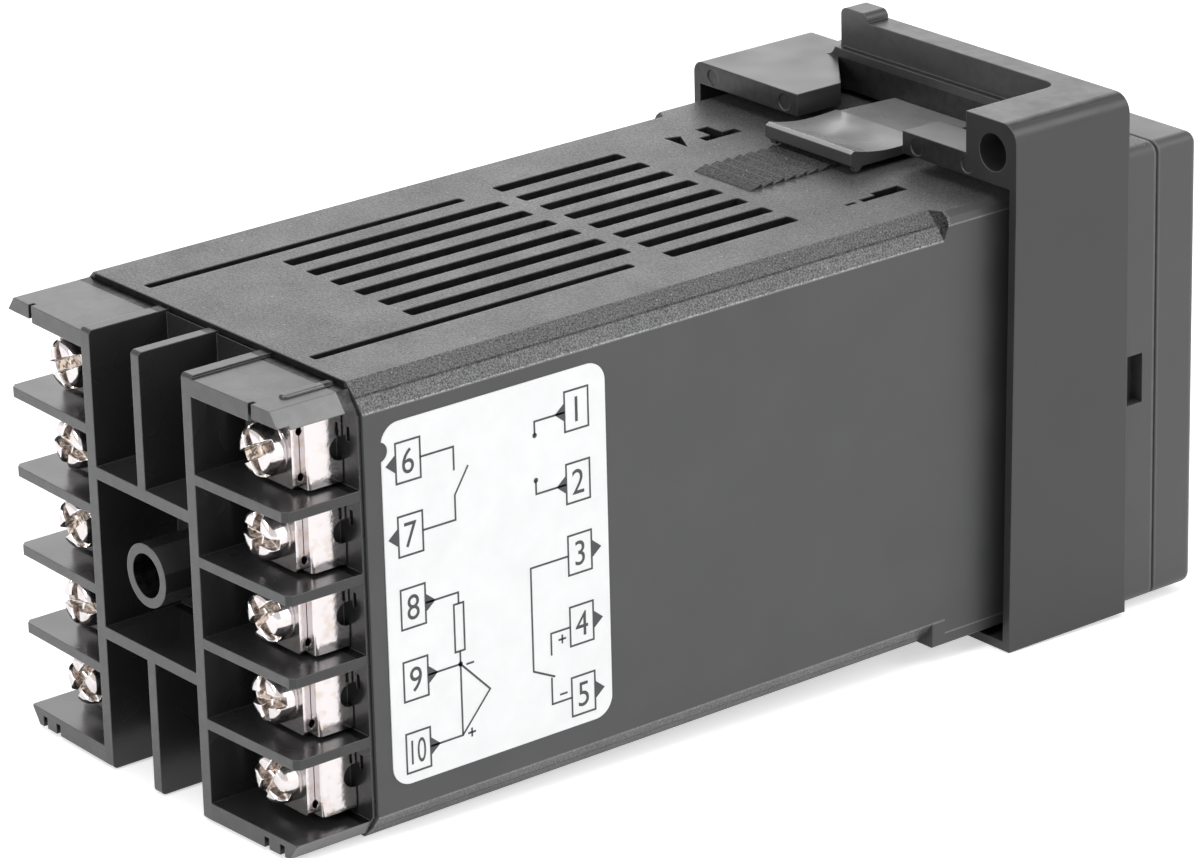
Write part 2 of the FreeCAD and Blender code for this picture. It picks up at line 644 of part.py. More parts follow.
def mounting_bracket():
    """Clamping frame that slides along the case: ring, decks, jack boss and upstand."""
    front, rear = BRACKET_FRONT, BRACKET_REAR
    minus, plus = BRACKET_OUTER_MINUS, BRACKET_OUTER_PLUS
    body = fuse(bracket_ring() + bracket_decks())
    body = soften(body, 2 * BRACKET_WALL,
                  lambda b: b.ZMin > UPSTAND_TOP - 0.01 and b.XMax < minus + 0.01)
    body = soften(body, 1.2, lambda b: b.ZMin > DECK[1] - 0.01 and b.XMin > plus - 0.01)
    body = soften(body, 1.5, lambda b: b.XLength < 0.01 and b.YLength > 2 and b.ZLength < 0.01
                  and abs(b.XMin - UPSTAND_END) < 0.01 and abs(b.ZMin - DECK[1]) < 0.01)
    body = soften(body, 1.6, lambda b: b.XLength < 0.01 and b.YLength < 0.01 and b.ZLength > 3
                  and abs(b.XMin - JACK_BOSS_INNER) < 0.01 and abs(b.YMin - UPSTAND_REAR) < 0.01)
    cuts = [rod_y(JACK_X, JACK_Z, JACK_HOLE, front - CUT_OVER, rear + CUT_OVER)]
    middle = BRACKET_MIDDLE
    for x in (JACK_BOSS_INNER - 0.1, middle - 9.76, middle + 10.04, plus - 2.96):
        cuts.append(rod_y(x, DECK[0] + 1.05, EJECTOR_DIAMETER, rear - EJECTOR_DEPTH, rear + CUT_OVER))
    return body.cut(cuts)


def bracket_latch():
    """Springy thumb latch of the bracket, with saw teeth that ride on the case rack."""
    middle = BRACKET_MIDDLE
    arm_half = LATCH_ARM_WIDTH / 2
    tab_half = LATCH_WIDTH / 2
    base = LATCH_BASE
    end = LATCH_REAR
    neck = end - LATCH_TAB
    arm = prism_yz([(LATCH_ROOT, base), (LATCH_ROOT, base + 0.75), (neck, base + 1.05),
                    (neck + 1, base + 0.9), (neck + 1, base)], middle - arm_half, middle + arm_half)
    hollow = [(LATCH_TAB, 1.05), (7.0, 0.95), (4.6, 1.0), (2.4, 1.3), (0.5, 1.75)]
    under = [(0.5, 1.75), (0.05, 1.5), (0.0, 0.35), (0.4, 0.0), (LATCH_TAB, 0.0), (LATCH_TAB, 1.05)]
    x0 = middle - tab_half
    curve = Part.BSplineCurve()
    curve.interpolate([Vector(x0, end - back, base + rise) for back, rise in hollow])
    sides = Part.makePolygon([Vector(x0, end - back, base + rise) for back, rise in under])
    tab_face = Part.Face(Part.Wire([curve.toShape()] + sides.Edges))
    tab = tab_face.extrude(Vector(LATCH_WIDTH, 0, 0))
    crest = CASE_HALF + RACK_HEIGHT + PAWL_GAP
    first = end - 1.6
    teeth = [(end - 6.1, base + 0.25), (first, base + 0.45)]
    for i in range(PAWL_TEETH):
        teeth.append((first - i * RACK_PITCH, crest))
        teeth.append((first - (i + 1) * RACK_PITCH, crest + RACK_HEIGHT - 0.15))
    pawl_half = RACK_HALF_WIDTH - 0.3
    solids = [arm, tab, prism_yz(teeth, -pawl_half, pawl_half)]
    foot = [(end - 2.0, base + 0.45), (end - 0.4, base + 1.05), (end - 0.7, base - 0.45),
            (end - 1.1, base - 0.45)]
    for x in (middle - tab_half, middle + tab_half - 0.8):
        solids.append(prism_yz(foot, x, x + 0.8))
    return fuse(solids)


def label():
    """Printed film on the -X side with one nick in its rear edge."""
    x = -CASE_HALF
    face = round_rectangle(*LABEL_Y, *LABEL_Z, LABEL_RADIUS, lambda u, v: Vector(x, u, v))
    film = face.extrude(Vector(-LABEL_THICKNESS, 0, 0))
    return film.cut(rod_x(LABEL_Y[1] + 0.3, LABEL_NICK_Z, 2.0, x - CUT_OVER, x + CUT_OVER))


def front_bezel():
    """Front frame with the window rebate, key openings, rear skirt and release slot."""
    half = FRAME / 2
    skirt_half = CAVITY_HALF - SKIRT_CLEARANCE
    inner_half = skirt_half - SKIRT_WALL
    rim = plate_xz(-half, half, -half, half, FRAME_RADIUS, BEZEL_FRONT, BEZEL_REAR)
    rim = soften(rim, 0.9, lambda b: b.YMax < BEZEL_FRONT + 0.01)
    rim = soften(rim, 0.3, lambda b: b.YMin > BEZEL_REAR - 0.01)
    skirt = prism_xz(square_outline(skirt_half, skirt_half, CAVITY_CUT), BEZEL_REAR - 0.2, SKIRT_REAR)
    hollow = prism_xz(square_outline(inner_half, inner_half, 0.6), BEZEL_FRONT + FRONT_WALL,
                      SKIRT_REAR + CUT_OVER)
    x0, x1, z0, z1 = WINDOW
    ledge = WINDOW_LEDGE
    before = BEZEL_FRONT - CUT_OVER
    through = BEZEL_FRONT + 2 * FRONT_WALL
    cuts = [
        hollow,
        plate_xz(x0, x1, z0, z1, 1.2, before, BEZEL_FRONT + WINDOW_THICKNESS + 0.2),
        plate_xz(x0 + ledge, x1 - ledge, z0 + ledge, z1 - ledge, 0.6, before, through),
        box(-3.0, 3.0, BEZEL_REAR - 3.65, BEZEL_REAR - 1.25, -half - CUT_OVER, -half + 1.4),
    ]
    for x in KEY_X:
        cuts.append(plate_xz(x - KEY_WIDTH / 2, x + KEY_WIDTH / 2, KEY_Z - KEY_HEIGHT / 2,
                             KEY_Z + KEY_HEIGHT / 2, 1.0, before, through))
    return fuse([rim, skirt]).cut(cuts)


def display_window():
    """Smoked window lying on the ledge of the bezel."""
    x0, x1, z0, z1 = WINDOW
    gap = WINDOW_CLEARANCE
    seat = BEZEL_FRONT + WINDOW_THICKNESS + 0.2
    return plate_xz(x0 + gap, x1 - gap, z0 + gap, z1 - gap, 1.1, seat - WINDOW_THICKNESS, seat)


def key_cap(x):
    """Key with a bevelled cap, a retaining rim and a short stem."""
    hw = KEY_WIDTH / 2 - KEY_CLEARANCE
    hh = KEY_HEIGHT / 2 - KEY_CLEARANCE
    front = BEZEL_FRONT - KEY_PROUD
    cap = plate_xz(x - hw, x + hw, KEY_Z - hh, KEY_Z + hh, 0.9, front, KEY_SEAT)
    cap = cap.makeChamfer(0.3, edges_where(cap, lambda b: b.YMax < front + 0.01))
    rim = box(x - hw - KEY_RIM, x + hw + KEY_RIM, KEY_SEAT, KEY_SEAT + KEY_RIM_DEPTH,
              KEY_Z - hh - KEY_RIM, KEY_Z + hh + KEY_RIM)
    return fuse([cap, rim, rod_y(x, KEY_Z, 3.0, KEY_SEAT, KEY_SEAT + KEY_STEM)])


def key_plunger(x):
    """Switch plunger pressed by the key stem."""
    return rod_y(x, KEY_Z, PLUNGER_DIAMETER, PLUNGER_FRONT, PLUNGER_FRONT + PLUNGER_LENGTH)


def key_switches():
    """Four push switch bodies on the display board, each with a well for its plunger."""
    face = PLUNGER_FRONT + KEY_TRAVEL + 0.2
    well = PLUNGER_FRONT + PLUNGER_LENGTH + KEY_TRAVEL + 0.1
    bodies = []
    for x in KEY_X:
        body = box(x - 3.0, x + 3.0, face, DISPLAY_BOARD_FRONT, KEY_Z - 2.9, KEY_Z + 3.0)
        bodies.append(body.cut(rod_y(x, KEY_Z, PLUNGER_DIAMETER + 0.3, face - CUT_OVER, well)))
    return bodies


def digit_segments(display):
    """Seven bars for each figure of a numeric display, with a point after each."""
    half_width, low, high = display
    y0, y1 = DIGIT_FRONT - DIGIT_PRINT, DIGIT_FRONT
    bar = DIGIT_BAR / 2
    pitch = (2 * half_width - 1.0) / DIGITS
    middle = (low + high) / 2
    rise = (high - low) / 2 - DIGIT_MARGIN
    half = pitch * 0.28
    solids = []
    for i in range(DIGITS):
        x = (i - (DIGITS - 1) / 2) * pitch - 0.4
        for z in (middle - rise, middle, middle + rise):
            solids.append(box(x - half + 0.5, x + half - 0.5, y0, y1, z - bar, z + bar))
        for side in (x - half, x + half):
            for z in (middle - rise, middle):
                solids.append(box(side - bar, side + bar, y0, y1, z + bar + 0.1, z + rise - bar - 0.1))
        point = x + half + 1.4
        solids.append(box(point - 0.4, point + 0.4, y0, y1, middle - rise - 0.4, middle - rise + 0.4))
    return solids


def digit_module(display):
    """Filled body of a numeric display on the display board."""
    half_width, low, high = display
    return box(-half_width, half_width, DIGIT_FRONT, DISPLAY_BOARD_FRONT, low, high)


def indicator_lamps():
    """Small lamps in a row below the figures."""
    lamps = []
    for i in range(LAMPS):
        x = (i - (LAMPS - 1) / 2) * LAMP_PITCH
        lamps.append(box(x - 0.8, x + 0.8, DIGIT_FRONT + 2.5, DISPLAY_BOARD_FRONT,
                         LAMP_HEIGHT - 0.5, LAMP_HEIGHT + 0.5))
    return lamps


def display_board():
    """Board behind the figures with a hole in each corner."""
    half = CAVITY_HALF - SKIRT_CLEARANCE - SKIRT_WALL - 0.35
    hole = half - 1.4
    rear = DISPLAY_BOARD_FRONT + BOARD_THICKNESS
    board = box(-half, half, DISPLAY_BOARD_FRONT, rear, -half, half)
    cuts = []
    for x in (-hole, hole):
        for z in (-hole, hole):
            cuts.append(rod_y(x, z, 2.2, DISPLAY_BOARD_FRONT - CUT_OVER, rear + CUT_OVER))
    return board.cut(cuts)


def long_board(side):
    """Circuit board along the case, its rear edge notched between the contact pads."""
    x0, x1 = sorted((side * BOARD_INNER, side * BOARD_OUTER))
    board = box(x0, x1, BOARD_FRONT, BOARD_REAR, -BOARD_HALF_HEIGHT, BOARD_HALF_HEIGHT)
    cuts = []
    for z in divider_heights():
        cuts.append(box(x0 - CUT_OVER, x1 + CUT_OVER, BOARD_REAR - 5.0, BOARD_REAR + CUT_OVER,
                        z - DIVIDER / 2, z + DIVIDER / 2))
    for z in (2.6 - BOARD_HALF_HEIGHT, BOARD_HALF_HEIGHT - 2.6):
        cuts.append(rod_x(8.0, z, 2.4, x0 - CUT_OVER, x1 + CUT_OVER))
    return board.cut(cuts)


def contact_pads():
    """Plated pads on the inner faces of both long boards, facing the terminal blades."""
    half = BLADE_HALF_WIDTH + 0.7
    pads = []
    for z in bay_heights():
        pads += both_sides(box(BOARD_INNER - PAD_THICKNESS, BOARD_INNER, BOARD_REAR - 4.6,
                               BOARD_REAR - 0.4, z - half, z + half))
    return pads


def board_headers():
    """Pin strips that join the long boards to the display board."""
    depth, length, height = HEADER_SIZE
    return both_sides(box(INNER_FACE - depth, INNER_FACE, BOARD_FRONT, BOARD_FRONT + length,
                          -height / 2, height / 2))


def board_spacer():
    """Moulded bar with a waist that keeps the long boards apart near their rear end."""
    quarter = [(INNER_FACE, 5.0), (INNER_FACE, 2.6), (3.0, 1.2)]
    upper = quarter + [(-x, z) for x, z in reversed(quarter)]
    lower = [(x, -z) for x, z in reversed(upper)]
    middle = prism_xz(upper, *SPACER_Y)
    return fuse([middle, prism_xz(lower, *SPACER_Y), box(-3.0, 3.0, *SPACER_Y, -1.2, 1.2)])


def transformer_core():
    """Ferrite core of the supply transformer: two E halves that leave two windows."""
    x0 = COIL_BASE - INNER_FACE
    x1 = x0 + TRANSFORMER_DEPTH
    front, rear = TRANSFORMER_Y
    half = TRANSFORMER_HALF_HEIGHT
    block = box(x0, x1, front, rear, -half, half)
    windows = []
    for y in (front + 2.6, rear - 6.4):
        windows.append(box(x0 + 2.6, x1 - 2.6, y, y + 3.8, -half - CUT_OVER, half + CUT_OVER))
    return block.cut(windows)


def transformer_coil():
    """Coil former with its winding, filling the two windows of the core."""
    x0 = COIL_BASE - INNER_FACE
    x1 = x0 + TRANSFORMER_DEPTH
    front, rear = TRANSFORMER_Y
    half = TRANSFORMER_HALF_HEIGHT
    high = half + 2.5
    coil = box(x0 + 2.7, x1 - 2.7, front + 2.7, rear - 2.7, -high, high)
    bore = box(x0 + CUT_OVER, x1 - CUT_OVER, front + 6.3, rear - 6.3, -half - 0.1, half + 0.1)
    base = box(-INNER_FACE, x0 - LIE_GAP, front - ROOT, rear + ROOT, -high - 1.0, high + 1.0)
    feet = [box(CUT_OVER - INNER_FACE, x0 + 4.0, front + 3.0, rear - 3.0, z, z + 2.0)
            for z in (-high, high - 2.0)]
    return fuse([coil.cut(bore), base] + feet)


def mains_capacitor():
    """Can capacitor standing on the power board, with a rolled groove near its base."""
    r = CAPACITOR_RADIUS
    end = CAPACITOR_LENGTH
    outline = [(0, 0), (r - 0.4, 0), (r, 0.4), (r, 2.0), (r - 0.45, 2.6), (r, 3.2), (r, end - 0.4),
               (r - 0.4, end), (0, end)]
    can = revolve_y(outline, 0, 0)
    can.rotate(Vector(0, 0, 0), Vector(0, 0, 1), -90)
    can.translate(Vector(-INNER_FACE, *CAPACITOR_PLACE))
    return can


def relay(low):
    """Sealed relay on the main board."""
    depth, height = RELAY_SIZE
    body = box(INNER_FACE - depth, INNER_FACE, *RELAY_Y, low, low + height)
    return soften(body, 0.5, lambda b: b.XMax < INNER_FACE - depth + 0.1)


def chip(place, size, legs):
    """Flat package on the outer face of the main board, its legs drawn as one rim."""
    x = BOARD_OUTER + LIE_GAP
    y, z = place
    length, height = size[0] / 2, size[1] / 2
    body = box(x + 0.1, x + CHIP_HEIGHT, y - length, y + length, z - height, z + height)
    length, height = legs[0] / 2, legs[1] / 2
    return fuse([body, box(x, x + 0.25, y - length, y + length, z - height, z + height)])


def mains_fuse():
    """Tubular fuse in two clips on the outer face of the power board."""
    x = -BOARD_OUTER - FUSE_RADIUS - 0.4
    front, rear = FUSE_Y
    cap = 3.5
    solids = [rod_y(x, FUSE_Z, 2 * FUSE_RADIUS - 0.6, front + 2, rear - 2)]
    for y in (front, rear - cap):
        solids.append(rod_y(x, FUSE_Z, 2 * FUSE_RADIUS, y, y + cap))
        solids.append(box(x, -BOARD_OUTER - SURFACE_GAP, y + 0.5, y + cap - 0.5,
                          FUSE_Z - 1.5, FUSE_Z + 1.5))
    return fuse(solids)


def filter_choke():
    """Mains choke on the power board."""
    y, z = CHOKE_PLACE
    ring = rod_x(y, z, 2 * CHOKE_RADIUS, -INNER_FACE, CHOKE_DEPTH - INNER_FACE)
    return ring.cut(rod_x(y, z, 5.0, -INNER_FACE - CUT_OVER, CHOKE_DEPTH - INNER_FACE + CUT_OVER))


def small_parts():
    """Resistors and small capacitors in two rows on the outer face of each board."""
    depth, length, height = SMALL_PART_SIZE
    solids = []
    for i in range(SMALL_PARTS_PER_ROW):
        y = SMALL_PART_START + SMALL_PART_PITCH * i
        for z in SMALL_PART_ROWS:
            solids += both_sides(box(BOARD_OUTER + SURFACE_GAP, BOARD_OUTER + depth, y, y + length,
                                     z - height / 2, z + height / 2))
    return solids


def save(name, shape):
    """Write one node, a single solid or a group of solids, as STEP."""
    solids = []
    for item in shape if isinstance(shape, list) else [shape]:
        solids += item.Solids
    whole = solids[0] if len(solids) == 1 else Part.makeCompound(solids)
    whole.exportStep("parts/" + name + ".step")


def build():
    nodes = {
        "case_shell": case_shell(),
        "terminal_block": terminal_block(),
        "terminal_strips_minus": terminal_strips(-1),
        "terminal_strips_plus": terminal_strips(1),
        "mounting_bracket": mounting_bracket(),
        "bracket_latch": bracket_latch(),
        "side_label": label(),
        "front_bezel": front_bezel(),
        "display_window": display_window(),
        "key_switches": key_switches(),
        "display_board": display_board(),
        "upper_display": digit_module(UPPER_DISPLAY),
        "lower_display": digit_module(LOWER_DISPLAY),
        "upper_digits": digit_segments(UPPER_DISPLAY),
        "lower_digits": digit_segments(LOWER_DISPLAY),
        "indicator_lamps": indicator_lamps(),
        "main_board": long_board(1),
        "power_board": long_board(-1),
        "contact_pads": contact_pads(),
        "board_headers": board_headers(),
        "board_spacer": board_spacer(),
        "transformer_core": transformer_core(),
        "transformer_coil": transformer_coil(),
        "mains_capacitor": mains_capacitor(),
        "output_relay": relay(RELAY_LOW[0]),
        "alarm_relay": relay(RELAY_LOW[1]),
        "microcontroller": chip(CONTROLLER_PLACE, CONTROLLER_SIZE, CONTROLLER_LEGS),
        "input_amplifier": chip(AMPLIFIER_PLACE, AMPLIFIER_SIZE, AMPLIFIER_LEGS),
        "mains_fuse": mains_fuse(),
        "filter_choke": filter_choke(),
        "small_parts": small_parts(),
    }
    for i, x in enumerate(KEY_X):
        nodes["key_%d" % (i + 1)] = key_cap(x)
        nodes["key_plunger_%d" % (i + 1)] = key_plunger(x)
    for i, (x, z) in enumerate(terminal_places()):
        nodes["clamp_plate_%d" % (i + 1)] = clamp_plate(x, z)
        nodes["terminal_screw_%d" % (i + 1)] = terminal_screw(i, x, z)
    os.makedirs("parts", exist_ok=True)
    for name, shape in nodes.items():
        save(name, shape)


build()
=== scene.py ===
"""Dresses the temperature controller: plastics, terminals, label, front, boards and stage."""

import math

import bmesh
import bpy
import numpy as np
from bpy.props import FloatProperty, FloatVectorProperty, PointerProperty
from mathutils import Matrix, Vector


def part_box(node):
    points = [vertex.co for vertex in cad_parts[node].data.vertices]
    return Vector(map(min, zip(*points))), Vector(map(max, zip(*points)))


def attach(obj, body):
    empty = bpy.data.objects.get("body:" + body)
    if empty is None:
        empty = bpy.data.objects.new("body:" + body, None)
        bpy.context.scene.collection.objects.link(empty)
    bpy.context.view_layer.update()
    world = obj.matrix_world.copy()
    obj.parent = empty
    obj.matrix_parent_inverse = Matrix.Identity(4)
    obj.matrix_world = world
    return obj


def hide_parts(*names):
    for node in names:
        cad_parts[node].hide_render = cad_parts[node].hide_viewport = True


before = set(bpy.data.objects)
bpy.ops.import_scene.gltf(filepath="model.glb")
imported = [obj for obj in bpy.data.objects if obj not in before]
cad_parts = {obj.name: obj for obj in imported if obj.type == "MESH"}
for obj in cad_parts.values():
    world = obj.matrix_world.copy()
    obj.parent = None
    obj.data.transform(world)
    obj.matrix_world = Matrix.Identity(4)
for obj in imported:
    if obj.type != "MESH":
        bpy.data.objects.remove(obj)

bl_info = {
    "name": "Temperature controller finish",
    "version": (1, 0, 0),
    "blender": (4, 5, 0),
    "location": "View3D > Sidebar > Controller",
    "description": "Finishes, terminal screws, label print and stage of a temperature controller",
    "category": "Object",
}

MM = 0.001
TERMINALS = range(1, 11)
KEYS = range(1, 5)

# Places on the solids, where their finish changes
CASE_HALF = 22.25 * MM
CASE_REAR = 91.3 * MM
SHELF_REAR = 99.0 * MM
PLATE_LEVEL = 20.0 * MM
DECK_TOP = 26.0 * MM
BOSS_SIDE = -17.5 * MM
BORE_RADIUS = 2.15 * MM
FLANGE_SEAM = -4.65 * MM
CORNER_SIDE = 21.05 * MM
FACET_FRONT = 21.9 * MM
FACET_EDGE = (21.2 * MM, 21.0 * MM)
FACET_SIDE = 19.65 * MM

# Finishes: cells are the sizes of noise patterns, and gains multiply a colour
PLASTIC_GLOSS = 0.5
FLOW_CELL = 9 * MM
DULL_CELL = 5 * MM
SKIN_CELL = 0.8 * MM
SKIN_DEPTH = 0.001 * MM
DULL_SPREAD = 0.08
SPECK_CELL = 0.34 * MM
SPECK_GAIN = 4.0
# Joints of the flange: half width and gain of a wide band of painted highlight, and of a narrow
# band of painted shadow inside it
SEAM_LIGHT_AND_SHADE_BANDS = ((0.42 * MM, 1.35), (0.17 * MM, 0.12))
INNER_EDGE = 0.08 * MM
RIM_COSINES = (0.995, 0.80)
# Share of the painted highlight laid along moulded edges
EDGE_HIGHLIGHT_SHARE = 0.45
# Share of the painted highlight along the edges of print and small pieces
INNER_EDGE_HIGHLIGHT_SHARE = 0.35
WINDOW_TONES = ((0.16, 0.09, 0.08, 1), (0.20, 0.11, 0.10, 1))
LACQUER_TONES = ((0.012, 0.085, 0.035, 1), (0.025, 0.15, 0.06, 1))
GOLD = (0.66, 0.60, 0.42, 1)
TRACK_CELL = 2.4 * MM
PAD_CELL = 3.3 * MM

# Terminal screws
HEAD_HEIGHT = 2.1 * MM
SHANK_RADIUS = 1.45 * MM
SLOT_DEPTH = 0.85 * MM
SLOT_HALF = 0.40 * MM
CROSS_DEPTH = 1.50 * MM
CROSS_HALF = 0.48 * MM
CROSS_RISE = 0.22
WALL_SLOPE = 9
VALLEY_BLEND = 0.05 * MM
RIM_BLEND = 0.07 * MM
MERGE_DISTANCE = 0.002 * MM
FIRST_TURN = 25
TURN_STEP = 37

# Stage, in metres
CASE_MIDDLE = (0, 55 * MM, 0)
SENSOR_WIDTH = 36.0
LAMP_AIM = (0, 0.05, 0)
SOFTBOXES = (
    ("top_softbox", (-0.05, 0.10, 0.90), 0.7, "top_light"),
    ("sheen_softbox", (0.75, -0.55, 0.36), 0.75, "sheen_light"),
    ("corner_softbox", (-0.55, -0.58, 0.65), 0.5, "corner_light"),
    ("side_softbox", (-0.85, -0.25, 0.25), 0.6, "side_light"),
    ("rear_softbox", (-0.10, 0.90, 0.45), 0.35, "rear_light"),
)
FLOOR_REACH = 2.5
FLOOR_GAP = 0.12 * MM
FLOOR_GLOW = (0.55, 1.0)
GLOW_REACH = (0.45, 0.8)


def colour_property(name, default, description):
    return FloatVectorProperty(name=name, description=description, subtype="COLOR", size=3,
                               min=0.0, max=1.0, default=default)


def length_property(name, default, description):
    return FloatProperty(name=name, description=description, subtype="DISTANCE", unit="LENGTH",
                         min=0.0, default=default)


def power_property(name, default, description):
    return FloatProperty(name=name, description=description, subtype="POWER", unit="POWER",
                         min=0.0, default=default)


def angle_property(name, degrees, description):
    return FloatProperty(name=name, description=description, subtype="ANGLE",
                         default=math.radians(degrees))


class PlasticSettings(bpy.types.PropertyGroup):
    case: colour_property("Case", (0.048, 0.048, 0.049), "Colour of the case and the bezel")
    block: colour_property("Terminal block", (0.021, 0.021, 0.022), "Colour of the rear moulding")
    bracket: colour_property("Bracket", (0.021, 0.021, 0.022), "Colour of the mounting bracket")
    # Painted light: paler than the bracket, which the latch is moulded with
    latch: colour_property("Latch", (0.055, 0.055, 0.056), "Colour of the thumb latch")
    keys: colour_property("Keys", (0.16, 0.17, 0.19), "Colour of the four keys")
    edge: length_property("Edge radius", 0.14 * MM, "Rounding seen on the moulded edges")
    block_edge: length_property("Block edge radius", 0.14 * MM, "Rounding on the terminal block")
    bracket_edge: length_property("Bracket edge radius", 0.17 * MM, "Rounding on the bracket")


class MetalSettings(bpy.types.PropertyGroup):
    nickel: colour_property("Nickel", (0.64, 0.60, 0.605), "Colour of the plated terminals")
    tint: colour_property("Tint", (0.52, 0.43, 0.35), "Warm tint in patches of the plating")
    # Brown film in the driver slots, partly painted shade
    film: colour_property("Film", (0.30, 0.24, 0.20), "Brown film in the driver slots")
    # Painted highlight along the stamped edges
    bright: colour_property("Bright", (0.93, 0.92, 0.90), "Colour of the rubbed edges")
    edge: length_property("Edge radius", 0.07 * MM, "Rounding seen on stamped edges")
    thread_pitch: length_property("Thread pitch", 0.5 * MM, "Rise of the screw thread in one turn")
    thread_depth: length_property("Thread depth", 0.22 * MM, "Depth of the screw thread")


class LabelSettings(bpy.types.PropertyGroup):
    film: colour_property("Film", (0.88, 0.885, 0.89), "Colour of the label film")
    ink: colour_property("Ink", (0.045, 0.045, 0.050), "Colour of the print")
    line: length_property("Line width", 0.2 * MM, "Width of the printed lines")
    row_pitch: length_property("Row pitch", 7.1 * MM, "Distance between two numbered boxes")
    box_width: length_property("Box width", 2.75 * MM, "Width of a numbered box")
    box_height: length_property("Box height", 3.9 * MM, "Height of a numbered box")
    lift: length_property("Lift", 0.015 * MM, "Height of the print above the film")


class StageSettings(bpy.types.PropertyGroup):
    floor: colour_property("Floor", (0.82, 0.82, 0.82), "Colour of the floor")
    top_light: power_property("Top light", 5.0, "Power of the overhead softbox")
    sheen_light: power_property("Sheen light", 2.4, "Power of the softbox beyond the object")
    corner_light: power_property("Corner light", 2.4, "Power of the softbox over the label")
    side_light: power_property("Side light", 2.55, "Power of the softbox on the label side")
    rear_light: power_property("Rear light", 4.2, "Power of the softbox behind the terminals")
    ambient: FloatProperty(name="Ambient", description="Level of the light from all round",
                           subtype="FACTOR", min=0.0, max=1.0, default=0.27)
    azimuth: angle_property("Azimuth", 231.58, "Camera direction round the object")
    elevation: angle_property("Elevation", 20.98, "Camera height above the horizon")
    roll: angle_property("Roll", -1.42, "Turn of the camera about its view")
    distance: length_property("Distance", 552.7 * MM, "Camera distance from the middle of the case")
    aim_right: length_property("Aim right", 6.40 * MM, "Aim point beside the middle of the case")
    aim_up: length_property("Aim up", 2.34 * MM, "Aim point above the middle of the case")
    lens: FloatProperty(name="Lens", description="Focal length in millimetres on a 36 mm sensor",
                        unit="CAMERA", min=1.0, default=171.98)


# Meshes from whole arrays

def grid_faces(rows, columns, closed=False):
    """Quads between the points of a grid; a closed grid joins its last column to its first."""
    row = np.arange(rows - 1)[:, None]
    column = np.arange(columns if closed else columns - 1)[None, :]
    following = (column + 1) % columns
    corners = (row * columns + column, row * columns + following,
               (row + 1) * columns + following, (row + 1) * columns + column)
    return np.stack(corners, axis=-1).reshape(-1, 4)


def join_parts(parts):
    """One vertex array and one face list from several (vertices, faces) pairs of arrays."""
    vertices, faces, start = [], [], 0
    for points, polygons in parts:
        vertices.append(points)
        faces += (np.asarray(polygons) + start).tolist()
        start += len(points)
    return np.concatenate(vertices), faces


def new_mesh(name, points, faces):
    mesh = bpy.data.meshes.new(name)
    mesh.from_pydata(points.tolist(), [], faces)
    return mesh


def place_object(name, mesh, body, material, smooth=True):
    """Object at the origin that rides on a body and wears one material."""
    mesh.materials.append(material)
    mesh.polygons.foreach_set("use_smooth", np.full(len(mesh.polygons), smooth))
    piece = bpy.data.objects.new(name, mesh)
    bpy.context.scene.collection.objects.link(piece)
    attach(piece, body)
    return piece


# Shader nodes

def add(tree, kind, options=None, **inputs):
    """New shader node; an input is a plain value or the output that feeds it."""
    shader = tree.nodes.new(kind)
    for key, value in (options or {}).items():
        setattr(shader, key, value)
    feed(tree, shader, **inputs)
    return shader


def feed(tree, shader, **inputs):
    """Sets the inputs of a node by name, or by number as i0, i1 and so on."""
    for key, value in inputs.items():
        numbered = key[0] == "i" and key[1:].isdigit()
        socket = shader.inputs[int(key[1:]) if numbered else key.replace("_", " ")]
        if isinstance(value, bpy.types.NodeSocket):
            tree.links.new(value, socket)
        else:
            socket.default_value = value


def maths(tree, operation, first, second=0.0):
    return add(tree, "ShaderNodeMath", {"operation": operation}, i0=first, i1=second).outputs[0]


def above(tree, value, limit):
    """1 where the value is greater than the limit."""
    return maths(tree, "GREATER_THAN", value, limit)


def both(tree, first, second):
    """1 where both masks are 1."""
    return maths(tree, "MULTIPLY", first, second)


def near(tree, value, target, reach):
    """1 where the value lies within reach of the target."""
    return add(tree, "ShaderNodeMath", {"operation": "COMPARE"}, i0=value, i1=target,
               i2=reach).outputs[0]


def blend(tree, factor, first, second):
    """Colour between first and second."""
    shader = add(tree, "ShaderNodeMix", {"data_type": "RGBA"}, i0=factor, i6=first, i7=second)
    return shader.outputs[2]


def rgba(colour, gain=1.0):
    return (*[min(1.0, part * gain) for part in colour], 1.0)


def spread(tree, value, low, high, to_low=0.0, to_high=1.0):
    """Straight line from the range low..high to the range to_low..to_high, held at its ends."""
    shader = add(tree, "ShaderNodeMapRange", {"clamp": True}, Value=value, From_Min=low,
                 From_Max=high, To_Min=to_low, To_Max=to_high)
    return shader.outputs[0]


def noise(tree, coordinates, cell, detail=2.0, roughness=0.5):
    """Cloud pattern whose cells are about the given length across."""
    shader = add(tree, "ShaderNodeTexNoise", Vector=coordinates, Scale=1.0 / cell, Detail=detail,
                 Roughness=roughness)
    return shader.outputs[0]


def start_material(name):
    """Empty material with its tree, object coordinates and shader."""
    material = bpy.data.materials.new(name)
    material.use_nodes = True
    tree = material.node_tree
    tree.nodes.clear()
    output = tree.nodes.new("ShaderNodeOutputMaterial")
    shader = tree.nodes.new("ShaderNodeBsdfPrincipled")
    tree.links.new(shader.outputs[0], output.inputs[0])
    coordinates = tree.nodes.new("ShaderNodeTexCoord")
    return material, tree, coordinates, shader


def bumped(tree, height, **normal):
    """Normal that follows a height in metres, over another normal if one is given."""
    return add(tree, "ShaderNodeBump", Strength=1.0, Distance=1.0, Height=height,
               **normal).outputs[0]


def surface_frame(tree, coordinates):
    """Parts of the normal and of the place on the object: two rows of x, y and z outputs."""
    normal = add(tree, "ShaderNodeSeparateXYZ", Vector=coordinates.outputs["Normal"])
    place = add(tree, "ShaderNodeSeparateXYZ", Vector=coordinates.outputs["Object"])
    return normal.outputs, place.outputs


